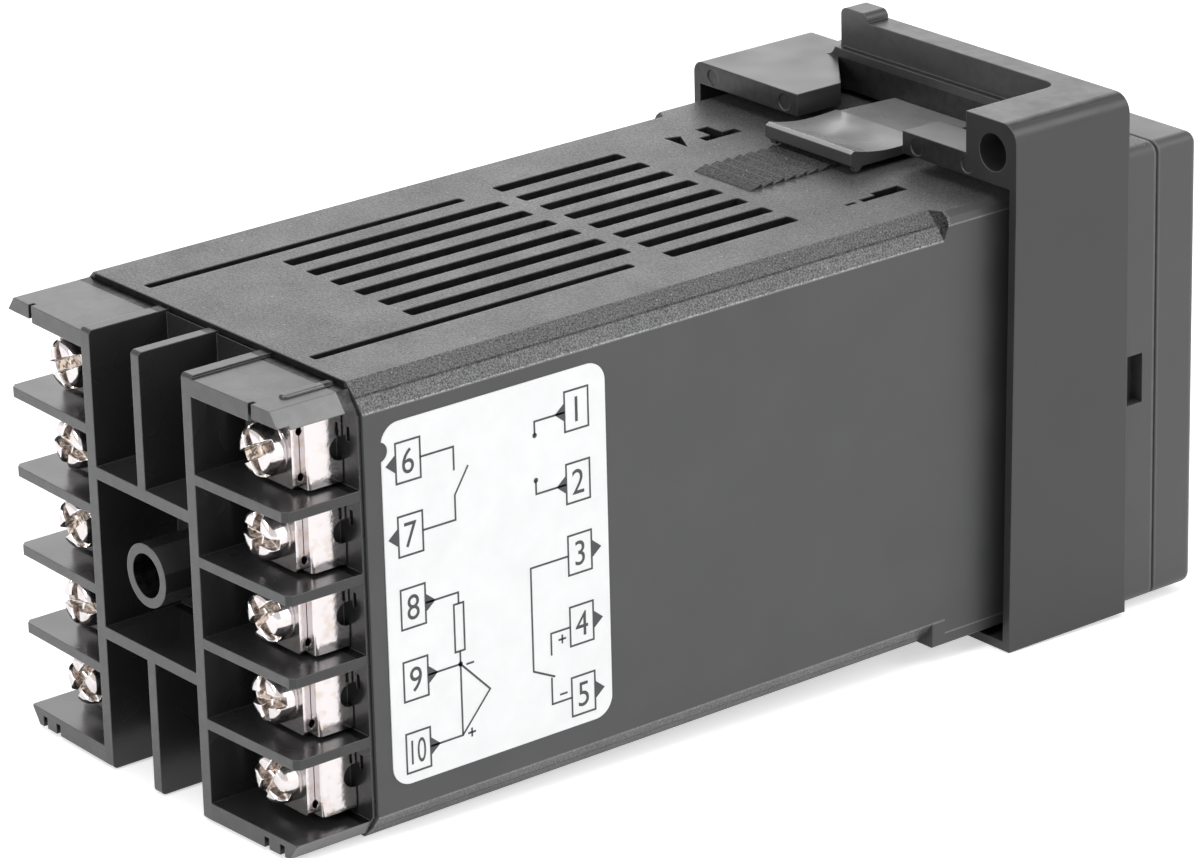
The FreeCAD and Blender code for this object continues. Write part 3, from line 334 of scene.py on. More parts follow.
def rounded_edges(tree, radius):
    """Normal that turns smoothly over the edges, and a mask that is 1 along them."""
    round_normal = add(tree, "ShaderNodeBevel", {"samples": 6}, Radius=radius).outputs[0]
    flat_normal = tree.nodes.new("ShaderNodeNewGeometry").outputs["True Normal"]
    product = add(tree, "ShaderNodeVectorMath", {"operation": "DOT_PRODUCT"}, i0=round_normal,
                  i1=flat_normal).outputs["Value"]
    return round_normal, spread(tree, product, *RIM_COSINES)


def moulded_plastic(name, colour, edge, roughness, zones=None, highlight_gain=2.6):
    """Filled plastic with faint flow marks, and a painted highlight along the edges in the
    colour raised by the highlight gain.

    zones turns the tree and its coordinates into grained areas. Each is a mask with the size of
    its grains, their height, how much they vary the colour, and a gain for colour and gloss.
    """
    material, tree, coordinates, shader = start_material(name)
    place = coordinates.outputs["Object"]
    round_normal, rim = rounded_edges(tree, edge)
    height = maths(tree, "MULTIPLY", noise(tree, place, SKIN_CELL), SKIN_DEPTH)
    flow = spread(tree, noise(tree, place, FLOW_CELL), 0.1, 0.9)
    base = blend(tree, flow, rgba(colour, 0.9), rgba(colour, 1.1))
    dull = spread(tree, noise(tree, place, DULL_CELL, 1.0), 0.1, 0.9, roughness - DULL_SPREAD,
                  roughness + DULL_SPREAD)
    gloss = PLASTIC_GLOSS
    for mask, cell, depth, mottle, gain in (zones(tree, coordinates) if zones else ()):
        grains = noise(tree, place, cell, 2.0, 0.6)
        raised = maths(tree, "MULTIPLY", maths(tree, "MULTIPLY", grains, depth), mask)
        height = maths(tree, "ADD", height, raised)
        shade = spread(tree, grains, 0.35, 0.65, gain - mottle, gain + mottle)
        shade = blend(tree, mask, (1, 1, 1, 1), shade)
        base = add(tree, "ShaderNodeMix", {"data_type": "RGBA", "blend_type": "MULTIPLY"}, i0=1.0,
                   i6=base, i7=shade).outputs[2]
        gloss = maths(tree, "MULTIPLY", shade, gloss)
        if depth:
            speck = spread(tree, noise(tree, place, SPECK_CELL, 1.0, 0.3), 0.76, 0.80)
            base = blend(tree, both(tree, speck, mask), base, rgba(colour, SPECK_GAIN))
    normal = bumped(tree, height, Normal=round_normal)
    # Painted highlight: a paler copy of the colour along the rounded edges
    base = blend(tree, maths(tree, "MULTIPLY", rim, EDGE_HIGHLIGHT_SHARE), base, rgba(colour, highlight_gain))
    feed(tree, shader, Base_Color=base, Roughness=dull, Normal=normal,
         Specular_IOR_Level=gloss)
    return material


def tinted(mask, mottle, gain, cell=1 * MM):
    """Area without relief, whose colour varies in soft clouds."""
    return mask, cell, 0.0, mottle, gain


def seam_zones(tree, normal, place):
    """Narrow bands of painted shadow round the flange, where the bezel and the bracket meet it,
    each with a band of painted highlight on both sides.
    """
    level = near(tree, normal[1], 0.0, 0.5)
    zones = []
    # Painted shadow in the narrow band, painted highlight in the wider band round it
    for reach, gain in SEAM_LIGHT_AND_SHADE_BANDS:
        bands = maths(tree, "MAXIMUM", near(tree, place[1], FLANGE_SEAM, reach),
                      near(tree, place[1], 0.0, reach))
        zones.append(tinted(both(tree, bands, level), 0.05, gain))
    return zones


def bezel_zones(tree, coordinates):
    """Bands of painted shadow and painted highlight on the bezel along the flange."""
    return seam_zones(tree, *surface_frame(tree, coordinates))


def bracket_zones(tree, coordinates):
    """Painted shade, with lower gloss, on the top of the bracket and on the rear edges of its deck,
    and painted light on the rear of its upstand. The boss keeps the plain finish.
    """
    normal, place = surface_frame(tree, coordinates)
    high = above(tree, place[2], DECK_TOP + 0.1 * MM)
    # Painted shade, with lower gloss, on the top faces
    top = both(tree, high, above(tree, normal[2], 0.9))
    # Painted light on the rear of the upstand, painted shade on the rear edges of the deck
    rear = both(tree, above(tree, normal[1], 0.7), above(tree, place[0], BOSS_SIDE))
    upstand = both(tree, rear, high)
    edge = maths(tree, "SUBTRACT", rear, upstand)
    return tinted(top, 0.1, 0.7), tinted(upstand, 0.1, 1.5), tinted(edge, 0.1, 0.75)


def latch_zones(tree, coordinates):
    """Upper faces of the latch, glossier, and paler with painted light."""
    normal = add(tree, "ShaderNodeSeparateXYZ", Vector=coordinates.outputs["Normal"]).outputs
    # Painted light: upper faces paler, and glossier
    return (tinted(above(tree, normal[2], 0.8), 0.2, 3.2, 3 * MM),)


def case_zones(tree, coordinates):
    """Areas of the case tube: the coarse corner facets behind the front part, found by their
    slanting normals, with painted light on the lower ones, painted shade on their front ends and
    a thin line of painted shade where the two meet; a painted highlight along the crests of the
    long edges; the blasted top and underside; painted shade and lower gloss on the rack; and
    painted shade on the walls of the vents and the interior.
    """
    normal, place = surface_frame(tree, coordinates)
    side = maths(tree, "ABSOLUTE", normal[0])
    rise = maths(tree, "ABSOLUTE", normal[2])
    across = maths(tree, "ABSOLUTE", place[0])
    up = maths(tree, "ABSOLUTE", place[2])
    slant = above(tree, maths(tree, "MINIMUM", side, rise), 0.2)
    facets = both(tree, slant, above(tree, place[1], FACET_FRONT - 1.1 * MM))
    # Painted light: the steeper, lower facets paler
    lit_steep_facets = both(tree, facets, above(tree, side, rise))
    # Painted shade on the walls of the vents and the interior
    shaded_interior = both(tree, maths(tree, "LESS_THAN", across, FACET_SIDE),
                  maths(tree, "LESS_THAN", up, CASE_HALF - 0.12 * MM))
    # Painted shade on the front ends of the facets
    ends = both(tree, above(tree, normal[1], 0.3),
                near(tree, place[1], FACET_FRONT - 0.4 * MM, 0.7 * MM))
    # Painted shade in a thin line where the two facets meet
    crease_shade = both(tree, near(tree, across, FACET_EDGE[0], 0.09 * MM),
                  near(tree, up, FACET_EDGE[1], 0.09 * MM))
    # Painted highlight along the crests of the long edges
    lower = both(tree, above(tree, place[1], FACET_FRONT),
                 near(tree, up, FACET_SIDE, 0.10 * MM))
    upper = both(tree, near(tree, place[1], FACET_FRONT / 2, FACET_FRONT / 2),
                 near(tree, up, CORNER_SIDE, 0.08 * MM))
    crest = both(tree, maths(tree, "MAXIMUM", lower, upper),
                 near(tree, across, CASE_HALF, 0.12 * MM))
    level = above(tree, rise, 0.9)
    # Painted shade, with lower gloss, on the rack over its grain
    rack = both(tree, above(tree, place[2], CASE_HALF + 0.03 * MM),
                above(tree, place[1], 1.0 * MM))
    return ((facets, 0.17 * MM, 0.07 * MM, 0.65, 1.15), tinted(lit_steep_facets, 0.05, 1.25),
            tinted(shaded_interior, 0.05, 0.25), *seam_zones(tree, normal, place),
            tinted(ends, 0.1, 0.25), tinted(crease_shade, 0.1, 0.5), tinted(crest, 0.3, 2.0, 0.3 * MM),
            (level, 0.20 * MM, 0.06 * MM, 0.40, 0.97), (rack, 0.22 * MM, 0.06 * MM, 0.20, 0.45))


def block_zones(tree, coordinates):
    """Areas of the rear moulding: painted light on the rear faces and on the slanting facets of the
    end plates; painted shade on the upper faces above the plate level, along the seam where the
    plates meet the case, and in the bore of the middle boss, where the root of x² + z² is within
    its radius.
    """
    normal, place = surface_frame(tree, coordinates)
    side = maths(tree, "ABSOLUTE", normal[0])
    rise = maths(tree, "ABSOLUTE", normal[2])
    # Painted light on the slanting facets
    slant = above(tree, maths(tree, "MINIMUM", side, rise), 0.3)
    # Painted shade, with lower gloss, on the upper faces above the plate level
    shaded_tops = both(tree, above(tree, normal[2], 0.9), above(tree, place[2], PLATE_LEVEL))
    # Painted light on the rear faces
    lit_rears = both(tree, above(tree, normal[1], 0.9), above(tree, place[1], SHELF_REAR))
    # Painted shade along the seam with the case
    seam = both(tree, near(tree, place[1], CASE_REAR, 1.4 * MM), above(tree, normal[2], 0.3))
    # Painted shade in the bore of the middle boss
    squares = [maths(tree, "MULTIPLY", place[axis], place[axis]) for axis in (0, 2)]
    radius = maths(tree, "SQRT", maths(tree, "ADD", *squares))
    bore = maths(tree, "LESS_THAN", radius, BORE_RADIUS + 0.01 * MM)
    return (tinted(bore, 0.1, 0.2), tinted(lit_rears, 0.1, 1.4), tinted(slant, 0.1, 2.0),
            tinted(seam, 0.1, 0.25), tinted(shaded_tops, 0.05, 0.68))


def nickel_plate(name, settings, cell=1.2 * MM):
    """Bright, slightly uneven plating: soft streaks, warm patches, a painted highlight along the
    edges, and a brown film that is partly painted shade, stronger where the attribute "recess"
    of a mesh says that a driver slot runs deep.
    """
    material, tree, coordinates, shader = start_material(name)
    place = coordinates.outputs["Object"]
    round_normal, rim = rounded_edges(tree, settings.edge)
    patch = maths(tree, "MULTIPLY", spread(tree, noise(tree, place, cell), 0.52, 0.72), 0.55)
    base = blend(tree, patch, rgba(settings.nickel), rgba(settings.tint))
    stretched = add(tree, "ShaderNodeMapping", Vector=place, Scale=(1.0, 0.12, 1.0)).outputs[0]
    streak = noise(tree, stretched, 0.12 * MM, 3.0)
    dull = spread(tree, streak, 0.3, 0.7, 0.09, 0.20)
    recess = add(tree, "ShaderNodeAttribute", {"attribute_name": "recess"}).outputs["Fac"]
    dull = maths(tree, "ADD", dull, maths(tree, "MULTIPLY", recess, 0.18))
    stain = spread(tree, noise(tree, place, 0.45 * MM), 0.42, 0.55)
    film = blend(tree, stain, rgba(settings.film, 0.35), rgba(settings.film, 1.9))
    # Brown film, partly painted shade that grows with the depth of the slot
    base = blend(tree, recess, base, film)
    height = maths(tree, "MULTIPLY", noise(tree, place, 0.5 * MM), 0.012 * MM)
    normal = bumped(tree, height, Normal=round_normal)
    # Painted highlight: a paler colour along the rounded edges
    base = blend(tree, rim, base, rgba(settings.bright))
    feed(tree, shader, Base_Color=base, Metallic=1.0, Roughness=dull, Normal=normal)
    return material


def simple_finish(name, colour, roughness, cell, contrast=0.12, metallic=0.0, depth=0.004 * MM):
    """Even finish with cloudy colour, a fine bump and a painted highlight along the edges, for
    print and small pieces.
    """
    material, tree, coordinates, shader = start_material(name)
    place = coordinates.outputs["Object"]
    round_normal, rim = rounded_edges(tree, INNER_EDGE)
    cloud = spread(tree, noise(tree, place, cell, 3.0), 0.3, 0.7)
    base = blend(tree, cloud, rgba(colour, 1 - contrast), rgba(colour, 1 + contrast))
    # Painted highlight: a paler colour along the edges
    base = blend(tree, maths(tree, "MULTIPLY", rim, INNER_EDGE_HIGHLIGHT_SHARE), base, rgba(colour, 1.6))
    height = maths(tree, "MULTIPLY", noise(tree, place, cell / 6), depth)
    normal = bumped(tree, height, Normal=round_normal)
    dull = spread(tree, cloud, 0.0, 1.0, max(0.03, roughness - 0.06), roughness + 0.06)
    feed(tree, shader, Base_Color=base, Metallic=metallic, Roughness=dull, Normal=normal)
    return material


def finish_node(name, material):
    """Gives a carried over node one material."""
    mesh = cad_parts[name].data
    mesh.materials.clear()
    mesh.materials.append(material)


def label_film(settings):
    """Satin film with a faint fibre tone."""
    material, tree, coordinates, shader = start_material("label_film_finish")
    place = coordinates.outputs["Object"]
    tone = spread(tree, noise(tree, place, 3 * MM, 3.0), 0.3, 0.7)
    base = blend(tree, tone, rgba(settings.film, 0.97), rgba(settings.film, 1.02))
    height = maths(tree, "MULTIPLY", noise(tree, place, 0.2 * MM), 0.003 * MM)
    normal = bumped(tree, height)
    feed(tree, shader, Base_Color=base, Roughness=spread(tree, tone, 0.0, 1.0, 0.42, 0.55),
         Normal=normal)
    return material


class CONTROLLER_OT_case(bpy.types.Operator):
    """Finishes the case tube with its grain and rough corner facets"""
    bl_idname = "controller.case"
    bl_label = "Case"

    def execute(self, context):
        plastics = context.scene.controller_plastics
        finish = moulded_plastic("case_finish", plastics.case, plastics.edge, roughness=0.46,
                                 zones=case_zones)
        finish_node("case_shell", finish)
        return {"FINISHED"}


class CONTROLLER_OT_terminal_block(bpy.types.Operator):
    """Finishes the rear moulding in a smoother, darker plastic"""
    bl_idname = "controller.terminal_block"
    bl_label = "Terminal block"

    def execute(self, context):
        plastics = context.scene.controller_plastics
        finish = moulded_plastic("block_finish", plastics.block, plastics.block_edge,
                                 roughness=0.27, zones=block_zones, highlight_gain=8.0)
        finish_node("terminal_block", finish)
        return {"FINISHED"}


class CONTROLLER_OT_bracket(bpy.types.Operator):
    """Finishes the mounting bracket and its latch"""
    bl_idname = "controller.bracket"
    bl_label = "Mounting bracket"

    def execute(self, context):
        plastics = context.scene.controller_plastics
        finish = moulded_plastic("bracket_finish", plastics.bracket, plastics.bracket_edge,
                                 roughness=0.36, zones=bracket_zones, highlight_gain=5.0)
        finish_node("mounting_bracket", finish)
        finish = moulded_plastic("latch_finish", plastics.latch, plastics.bracket_edge,
                                 roughness=0.26, zones=latch_zones)
        finish_node("bracket_latch", finish)
        return {"FINISHED"}


def soft_minimum(first, second, width):
    """Lower of two surfaces, with a round blend of the given width where they cross."""
    gap = np.clip(0.5 + 0.5 * (second - first) / width, 0.0, 1.0)
    return second * (1 - gap) + first * gap - width * gap * (1 - gap)


def disc_grid(count):
    """Square grid turned into a disc of radius 1: each point (u, v) goes to
    (u sqrt(1 - v²/2), v sqrt(1 - u²/2)), and the spacing is finer towards the rim.
    """
    step = np.sin(np.linspace(-1, 1, count) * np.pi / 2)
    u, v = np.meshgrid(step, step, indexing="ij")
    return u * np.sqrt(1 - v ** 2 / 2), v * np.sqrt(1 - u ** 2 / 2)


def screw_head(radius, height, count=110):
    """Pan head over the unit disc. The dome is height times (1 - r⁸) to the power 0.35.
    The slot and the cross are valleys with steep walls that run out through the rim, joined to
    the dome by a soft minimum. Returns the points, and how deep each lies in a valley, 0 to 1.
    """
    x, y = disc_grid(count)
    r = np.clip(np.hypot(x, y), 0, 1)
    dome = height * (1 - r ** 8) ** 0.35
    x, y = x * radius, y * radius
    valley = height - SLOT_DEPTH + np.maximum(0, np.abs(y) - SLOT_HALF) * WALL_SLOPE
    for along, across in ((x, y), (y, x)):
        wall = np.maximum(0, np.abs(across) - CROSS_HALF) * WALL_SLOPE
        arm = height - CROSS_DEPTH + CROSS_RISE * np.abs(along) + wall
        valley = soft_minimum(valley, arm, VALLEY_BLEND)
    level = np.maximum(0, soft_minimum(dome, valley, RIM_BLEND))
    depth = np.clip((dome - level) / (1.0 * MM), 0, 1)
    return np.stack([x, y, level], axis=-1), depth


def screw_shank(radius, length, pitch, depth, around=28, per_turn=10):
    """Thread as a tube whose radius drops by depth times a raised cosine of the turns so far."""
    rows = int(length / pitch * per_turn) + 1
    along = np.linspace(0, length, rows)[:, None]
    angle = np.linspace(0, 2 * np.pi, around, endpoint=False)[None, :]
    wave = 0.5 - 0.5 * np.cos(2 * np.pi * along / pitch - angle)
    taper = np.clip((length - along) / (1.2 * pitch), 0.35, 1.0)
    r = radius * taper - depth * wave * np.clip(along / pitch, 0, 1)
    return np.stack([r * np.cos(angle), r * np.sin(angle), -along + 0 * angle], axis=-1)


def screw_mesh(name, node, turn, metal):
    """Head, underside and thread of one screw, set on the place of its plain solid."""
    low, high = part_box(node)
    radius = (high.x - low.x) / 2
    centre = (low + high) / 2
    head, depth = screw_head(radius, HEAD_HEIGHT)
    rim = np.concatenate([head[:, 0], head[-1, 1:], head[-2::-1, -1], head[0, -2:0:-1]])
    rim = rim * (1, 1, 0)
    neck = rim / np.linalg.norm(rim, axis=1, keepdims=True) * SHANK_RADIUS
    shank = screw_shank(SHANK_RADIUS, high.y - low.y - HEAD_HEIGHT, metal.thread_pitch,
                        metal.thread_depth)
    around = shank.shape[1]
    parts = [(head.reshape(-1, 3), grid_faces(*head.shape[:2])),
             (np.concatenate([neck, rim]), grid_faces(2, len(rim), closed=True)),
             (shank.reshape(-1, 3), grid_faces(*shank.shape[:2], closed=True)),
             (shank[-1], [list(range(around))])]
    vertices, faces = join_parts(parts)
    c, s = math.cos(turn), math.sin(turn)
    placed = np.stack([centre.x + c * vertices[:, 0] - s * vertices[:, 1],
                       high.y - HEAD_HEIGHT + vertices[:, 2],
                       centre.z + s * vertices[:, 0] + c * vertices[:, 1]], axis=-1)
    mesh = new_mesh(name, placed, faces)
    recess = np.zeros(len(vertices))
    recess[:depth.size] = depth.ravel()
    mesh.attributes.new("recess", "FLOAT", "POINT").data.foreach_set("value", recess)
    repair_normals(mesh)
    return mesh


def repair_normals(mesh):
    """Merges doubled points and turns every face outwards."""
    work = bmesh.new()
    work.from_mesh(mesh)
    bmesh.ops.remove_doubles(work, verts=work.verts, dist=MERGE_DISTANCE)
    bmesh.ops.recalc_face_normals(work, faces=work.faces)
    work.to_mesh(mesh)
    work.free()


class CONTROLLER_OT_terminals(bpy.types.Operator):
    """Makes the ten threaded screws and plates all terminal metal"""
    bl_idname = "controller.terminals"
    bl_label = "Terminals"

    def execute(self, context):
        metal = context.scene.controller_metal
        plate = nickel_plate("strip_finish", metal)
        bright = nickel_plate("screw_finish", metal, 0.8 * MM)
        for node in ("terminal_strips_minus", "terminal_strips_plus"):
            finish_node(node, plate)
        for number in TERMINALS:
            finish_node("clamp_plate_%d" % number, plate)
            node = "terminal_screw_%d" % number
            turn = math.radians(FIRST_TURN + TURN_STEP * number)
            mesh = screw_mesh("screw_%d" % number, node, turn, metal)
            piece = place_object("screw_%d" % number, mesh, "screw_%d" % number, bright)
            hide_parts(node)
        return {"FINISHED"}


# Label print. A point is (y, z) on the label in millimetres.

NUMBER_COLUMNS = (67.3, 86.6)
JOIN = 81.5
CONTACT = 72.2
CONTACT_GAP = 1.35
RESISTOR = (80.95, 82.05)
RESISTOR_TOP = 1.1
RESISTOR_FOOT = 1.3
ARROW_HALF = 0.85
ARROW_LENGTH = 1.05
DOT_RADIUS = 0.26
FIGURE_SHARE = 1.25
ONE_FIGURE = 0.9
TWO_FIGURES = 0.62


def stroke(points, width, closed=False):
    """Ribbon of constant width along a path: each point is moved both ways along the mean normal
    of its two runs, divided by the cosine of half the turn.
    """
    path = np.array(points, float)
    ahead = np.roll(path, -1, axis=0) - path
    if not closed:
        ahead[-1] = ahead[-2]
    ahead /= np.linalg.norm(ahead, axis=1, keepdims=True)
    behind = np.roll(ahead, 1, axis=0)
    if not closed:
        behind[0] = ahead[0]
    mean = ahead + behind
    mean /= np.linalg.norm(mean, axis=1, keepdims=True)
    across = np.stack([-mean[:, 1], mean[:, 0]], axis=-1)
    reach = width / 2 / np.clip((mean * ahead).sum(axis=1), 0.5, 1)
    sides = np.stack([path + across * reach[:, None], path - across * reach[:, None]], axis=1)
    count = len(path)
    here = np.arange(count if closed else count - 1)
    there = (here + 1) % count
    quads = np.stack([2 * here, 2 * here + 1, 2 * there + 1, 2 * there], axis=-1)
    return sides.reshape(-1, 2), quads


def dot(centre, radius, count=16):
    angle = np.linspace(0, 2 * np.pi, count, endpoint=False)
    return np.stack([centre[0] + radius * np.cos(angle), centre[1] + radius * np.sin(angle)],
                    axis=-1), [list(range(count))]


def figures(text, centre, height, squeeze):
    """Number as flat faces, read from the -X side and squeezed across."""
    curve = bpy.data.curves.new("number", "FONT")
    curve.body = text
    curve.size = 1.0
    letter = bpy.data.objects.new("number", curve)
    bpy.context.scene.collection.objects.link(letter)
    bpy.context.view_layer.update()
    graph = bpy.context.evaluated_depsgraph_get()
    mesh = bpy.data.meshes.new_from_object(letter.evaluated_get(graph))
    points = np.zeros(len(mesh.vertices) * 3)
    mesh.vertices.foreach_get("co", points)
    points = points.reshape(-1, 3)[:, :2]
    mesh.calc_loop_triangles()
    faces = np.zeros(len(mesh.loop_triangles) * 3, int)
    mesh.loop_triangles.foreach_get("vertices", faces)
    faces = faces.reshape(-1, 3)
    bpy.data.objects.remove(letter)
    bpy.data.curves.remove(curve)
    bpy.data.meshes.remove(mesh)
    low, high = points.min(axis=0), points.max(axis=0)
    scale = height / (high[1] - low[1])
    points = (points - (low + high) / 2) * scale
    return np.stack([centre[0] - points[:, 0] * squeeze, centre[1] + points[:, 1]], axis=-1), faces


def numbered_box(number, centre, label):
    """Box with its number."""
    y, z = centre
    half_width = label.box_width / MM / 2
    half_height = label.box_height / MM / 2
    corners = [(y - half_width, z - half_height), (y + half_width, z - half_height),
               (y + half_width, z + half_height), (y - half_width, z + half_height)]
    squeeze = TWO_FIGURES if number > 9 else ONE_FIGURE
    return [stroke(corners, label.line / MM, closed=True),
            figures(str(number), (y, z), half_height * FIGURE_SHARE, squeeze)]


def arrow(centre, side, label):
    """Solid triangle on one side of a box, pointing away from it."""
    y, z = centre
    edge = y + side * (label.box_width / MM / 2 + label.line / MM / 2)
    points = [(edge, z - ARROW_HALF), (edge, z + ARROW_HALF), (edge + side * ARROW_LENGTH, z)]
    return np.array(points), [[0, 1, 2]]


def terminal_rows(label):
    return [label.row_pitch / MM * (2 - row) for row in range(5)]


def wiring_lines(label):
    """Lines of the wiring diagram, from the boxes to the symbols between the two columns."""
    one, two, three, four, five = terminal_rows(label)
    front, rear = NUMBER_COLUMNS
    half = label.box_width / MM / 2
    right, left = front + half, rear - half
    return [
        [(right, one), (CONTACT, one), (CONTACT, one - CONTACT_GAP)],
        [(right, two), (CONTACT, two), (CONTACT, two + CONTACT_GAP)],
        [(right, three), (73.1, three), (73.1, five + 3.9), (70.6, five + 2.7)],
        [(right, four), (70.95, four), (70.95, four - 2.2)],
        [(right, five), (71.0, five), (71.0, five + 2.7)],
        [(left, one), (JOIN, one), (JOIN, one - 2.3)],
        [(left, two), (JOIN, two), (JOIN, two + 2.4), (79.9, one - 2.2)],
        [(left, three), (JOIN, three), (JOIN, three - RESISTOR_TOP)],
        [(left, four), (JOIN, four), (JOIN, four + RESISTOR_FOOT)],
        [(JOIN, four), (78.2, four - 3.4), (JOIN, five)],
        [(JOIN, four), (JOIN, five), (left, five)],
        [(79.95, four - 0.2), (80.85, four - 0.2)],
        [(80.0, five), (80.9, five)],
        [(80.45, five - 0.45), (80.45, five + 0.45)],
        [(69.2, four - 0.9), (70.1, four - 0.9)],
        [(69.65, four - 1.35), (69.65, four - 0.45)],
        [(69.2, five + 0.7), (70.1, five + 0.7)],
    ]


class CONTROLLER_OT_label(bpy.types.Operator):
    """Finishes the label film and prints the numbered wiring diagram on it"""
    bl_idname = "controller.label"
    bl_label = "Label"

    def execute(self, context):
        label = context.scene.controller_label
        finish_node("side_label", label_film(label))
        rows = terminal_rows(label)
        front, rear = NUMBER_COLUMNS
        width = label.line / MM
        drawn = []
        for row, z in enumerate(rows):
            drawn += numbered_box(row + 1, (front, z), label)
            drawn += numbered_box(row + 6, (rear, z), label)
            side = 1 if row < 2 else -1
            drawn += [arrow((front, z), side, label), arrow((rear, z), side, label)]
        drawn += [stroke(line, width) for line in wiring_lines(label)]
        left, right = RESISTOR
        top, foot = rows[2] - RESISTOR_TOP, rows[3] + RESISTOR_FOOT
        resistor = [(right, top), (left, top), (left, foot), (right, foot)]
        drawn.append(stroke(resistor, width, closed=True))
        for place in ((CONTACT, rows[0] - CONTACT_GAP), (CONTACT, rows[1] + CONTACT_GAP),
                      (JOIN, rows[3])):
            drawn.append(dot(place, DOT_RADIUS))
        flat, faces = join_parts(drawn)
        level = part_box("side_label")[0].x - label.lift
        points = np.stack([np.full(len(flat), level), flat[:, 0] * MM, flat[:, 1] * MM], axis=-1)
        mesh = new_mesh("label_print", points, faces)
        face_outwards(mesh)
        ink = simple_finish("ink_finish", label.ink, 0.5, 1 * MM, depth=0.0)
        place_object("label_print", mesh, "case", ink, smooth=False)
        return {"FINISHED"}


def face_outwards(mesh):
    """Turns the faces of the flat print so that all look towards -X."""
    work = bmesh.new()
    work.from_mesh(mesh)
    work.normal_update()
    bmesh.ops.reverse_faces(work, faces=[face for face in work.faces if face.normal.x > 0])
    work.to_mesh(mesh)
    work.free()


class CONTROLLER_OT_front(bpy.types.Operator):
    """Finishes the bezel, window, keys and displays"""
    bl_idname = "controller.front"
    bl_label = "Front"

    def execute(self, context):
        plastics = context.scene.controller_plastics
        bezel = moulded_plastic("bezel_finish", plastics.case, plastics.bracket_edge,
                                roughness=0.42, zones=bezel_zones, highlight_gain=4.0)
        finish_node("front_bezel", bezel)
        keys = simple_finish("key_finish", plastics.keys, 0.45, 2 * MM)
        plunger = simple_finish("plunger_finish", (0.03, 0.03, 0.03), 0.4, 2 * MM)
        for number in KEYS:
            finish_node("key_%d" % number, keys)
            finish_node("key_plunger_%d" % number, plunger)
        for node in ("key_switches", "upper_display", "lower_display", "board_headers",
                     "board_spacer"):
            finish_node(node, plunger)
        segment = simple_finish("segment_finish", (0.62, 0.58, 0.54), 0.35, 1 * MM)
        for node in ("upper_digits", "lower_digits", "indicator_lamps"):
            finish_node(node, segment)
        finish_node("display_window", smoked_window())
        return {"FINISHED"}


def smoked_window():
    """Clear red brown acrylic with a faint moulding ripple."""
    material, tree, coordinates, shader = start_material("window_finish")
    place = coordinates.outputs["Object"]
    ripple = maths(tree, "MULTIPLY", noise(tree, place, 6 * MM), 0.004 * MM)
    normal = bumped(tree, ripple)
    tone = spread(tree, noise(tree, place, 12 * MM), 0.3, 0.7)
    base = blend(tree, tone, *WINDOW_TONES)
    feed(tree, shader, Base_Color=base, Roughness=0.04, Normal=normal,
         Transmission_Weight=0.9, IOR=1.49)
    return material


def printed_board(name):
    """Green lacquer over square cornered tracks, with small gold pads."""
    material, tree, coordinates, shader = start_material(name)
    place = coordinates.outputs["Object"]
    cells = add(tree, "ShaderNodeTexVoronoi", {"distance": "CHEBYCHEV", "feature": "F1"},
                Vector=place, Scale=1 / TRACK_CELL, Randomness=0.6)
    ring = maths(tree, "FRACT", maths(tree, "MULTIPLY", cells.outputs["Distance"], 3.0))
    track = spread(tree, ring, 0.42, 0.5)
    lacquer = blend(tree, track, *LACQUER_TONES)
    holes = add(tree, "ShaderNodeTexVoronoi", Vector=place, Scale=1 / PAD_CELL)
    pad = spread(tree, holes.outputs["Distance"], 0.16, 0.13)
    base = blend(tree, pad, lacquer, GOLD)
    height = maths(tree, "MULTIPLY", track, 0.02 * MM)
    normal = bumped(tree, height)
    feed(tree, shader, Base_Color=base, Roughness=spread(tree, track, 0, 1, 0.22, 0.32),
         Metallic=maths(tree, "MULTIPLY", pad, 0.9), Normal=normal)
    return material


def banded(name, first, second, pitch, axis, roughness, share=0.5):
    """Two colours in bands along one axis, as on wound tape or wire."""
    material, tree, coordinates, shader = start_material(name)
    split = add(tree, "ShaderNodeSeparateXYZ", Vector=coordinates.outputs["Object"])
    phase = maths(tree, "FRACT", maths(tree, "DIVIDE", split.outputs[axis], pitch))
    fold = maths(tree, "PINGPONG", phase, 0.5)
    band = spread(tree, fold, share * 0.5 - 0.04, share * 0.5 + 0.04)
    cloud = noise(tree, coordinates.outputs["Object"], 2 * MM, 3.0)
    tone = spread(tree, cloud, 0.3, 0.7)
    base = blend(tree, band, rgba(first), rgba(second))
    base = blend(tree, maths(tree, "MULTIPLY", tone, 0.2), base, rgba(first, 0.7))
    height = maths(tree, "MULTIPLY", band, 0.03 * MM)
    normal = bumped(tree, height)
    dull = spread(tree, tone, 0, 1, roughness, roughness + 0.1)
    feed(tree, shader, Base_Color=base, Roughness=dull, Normal=normal)
    return material


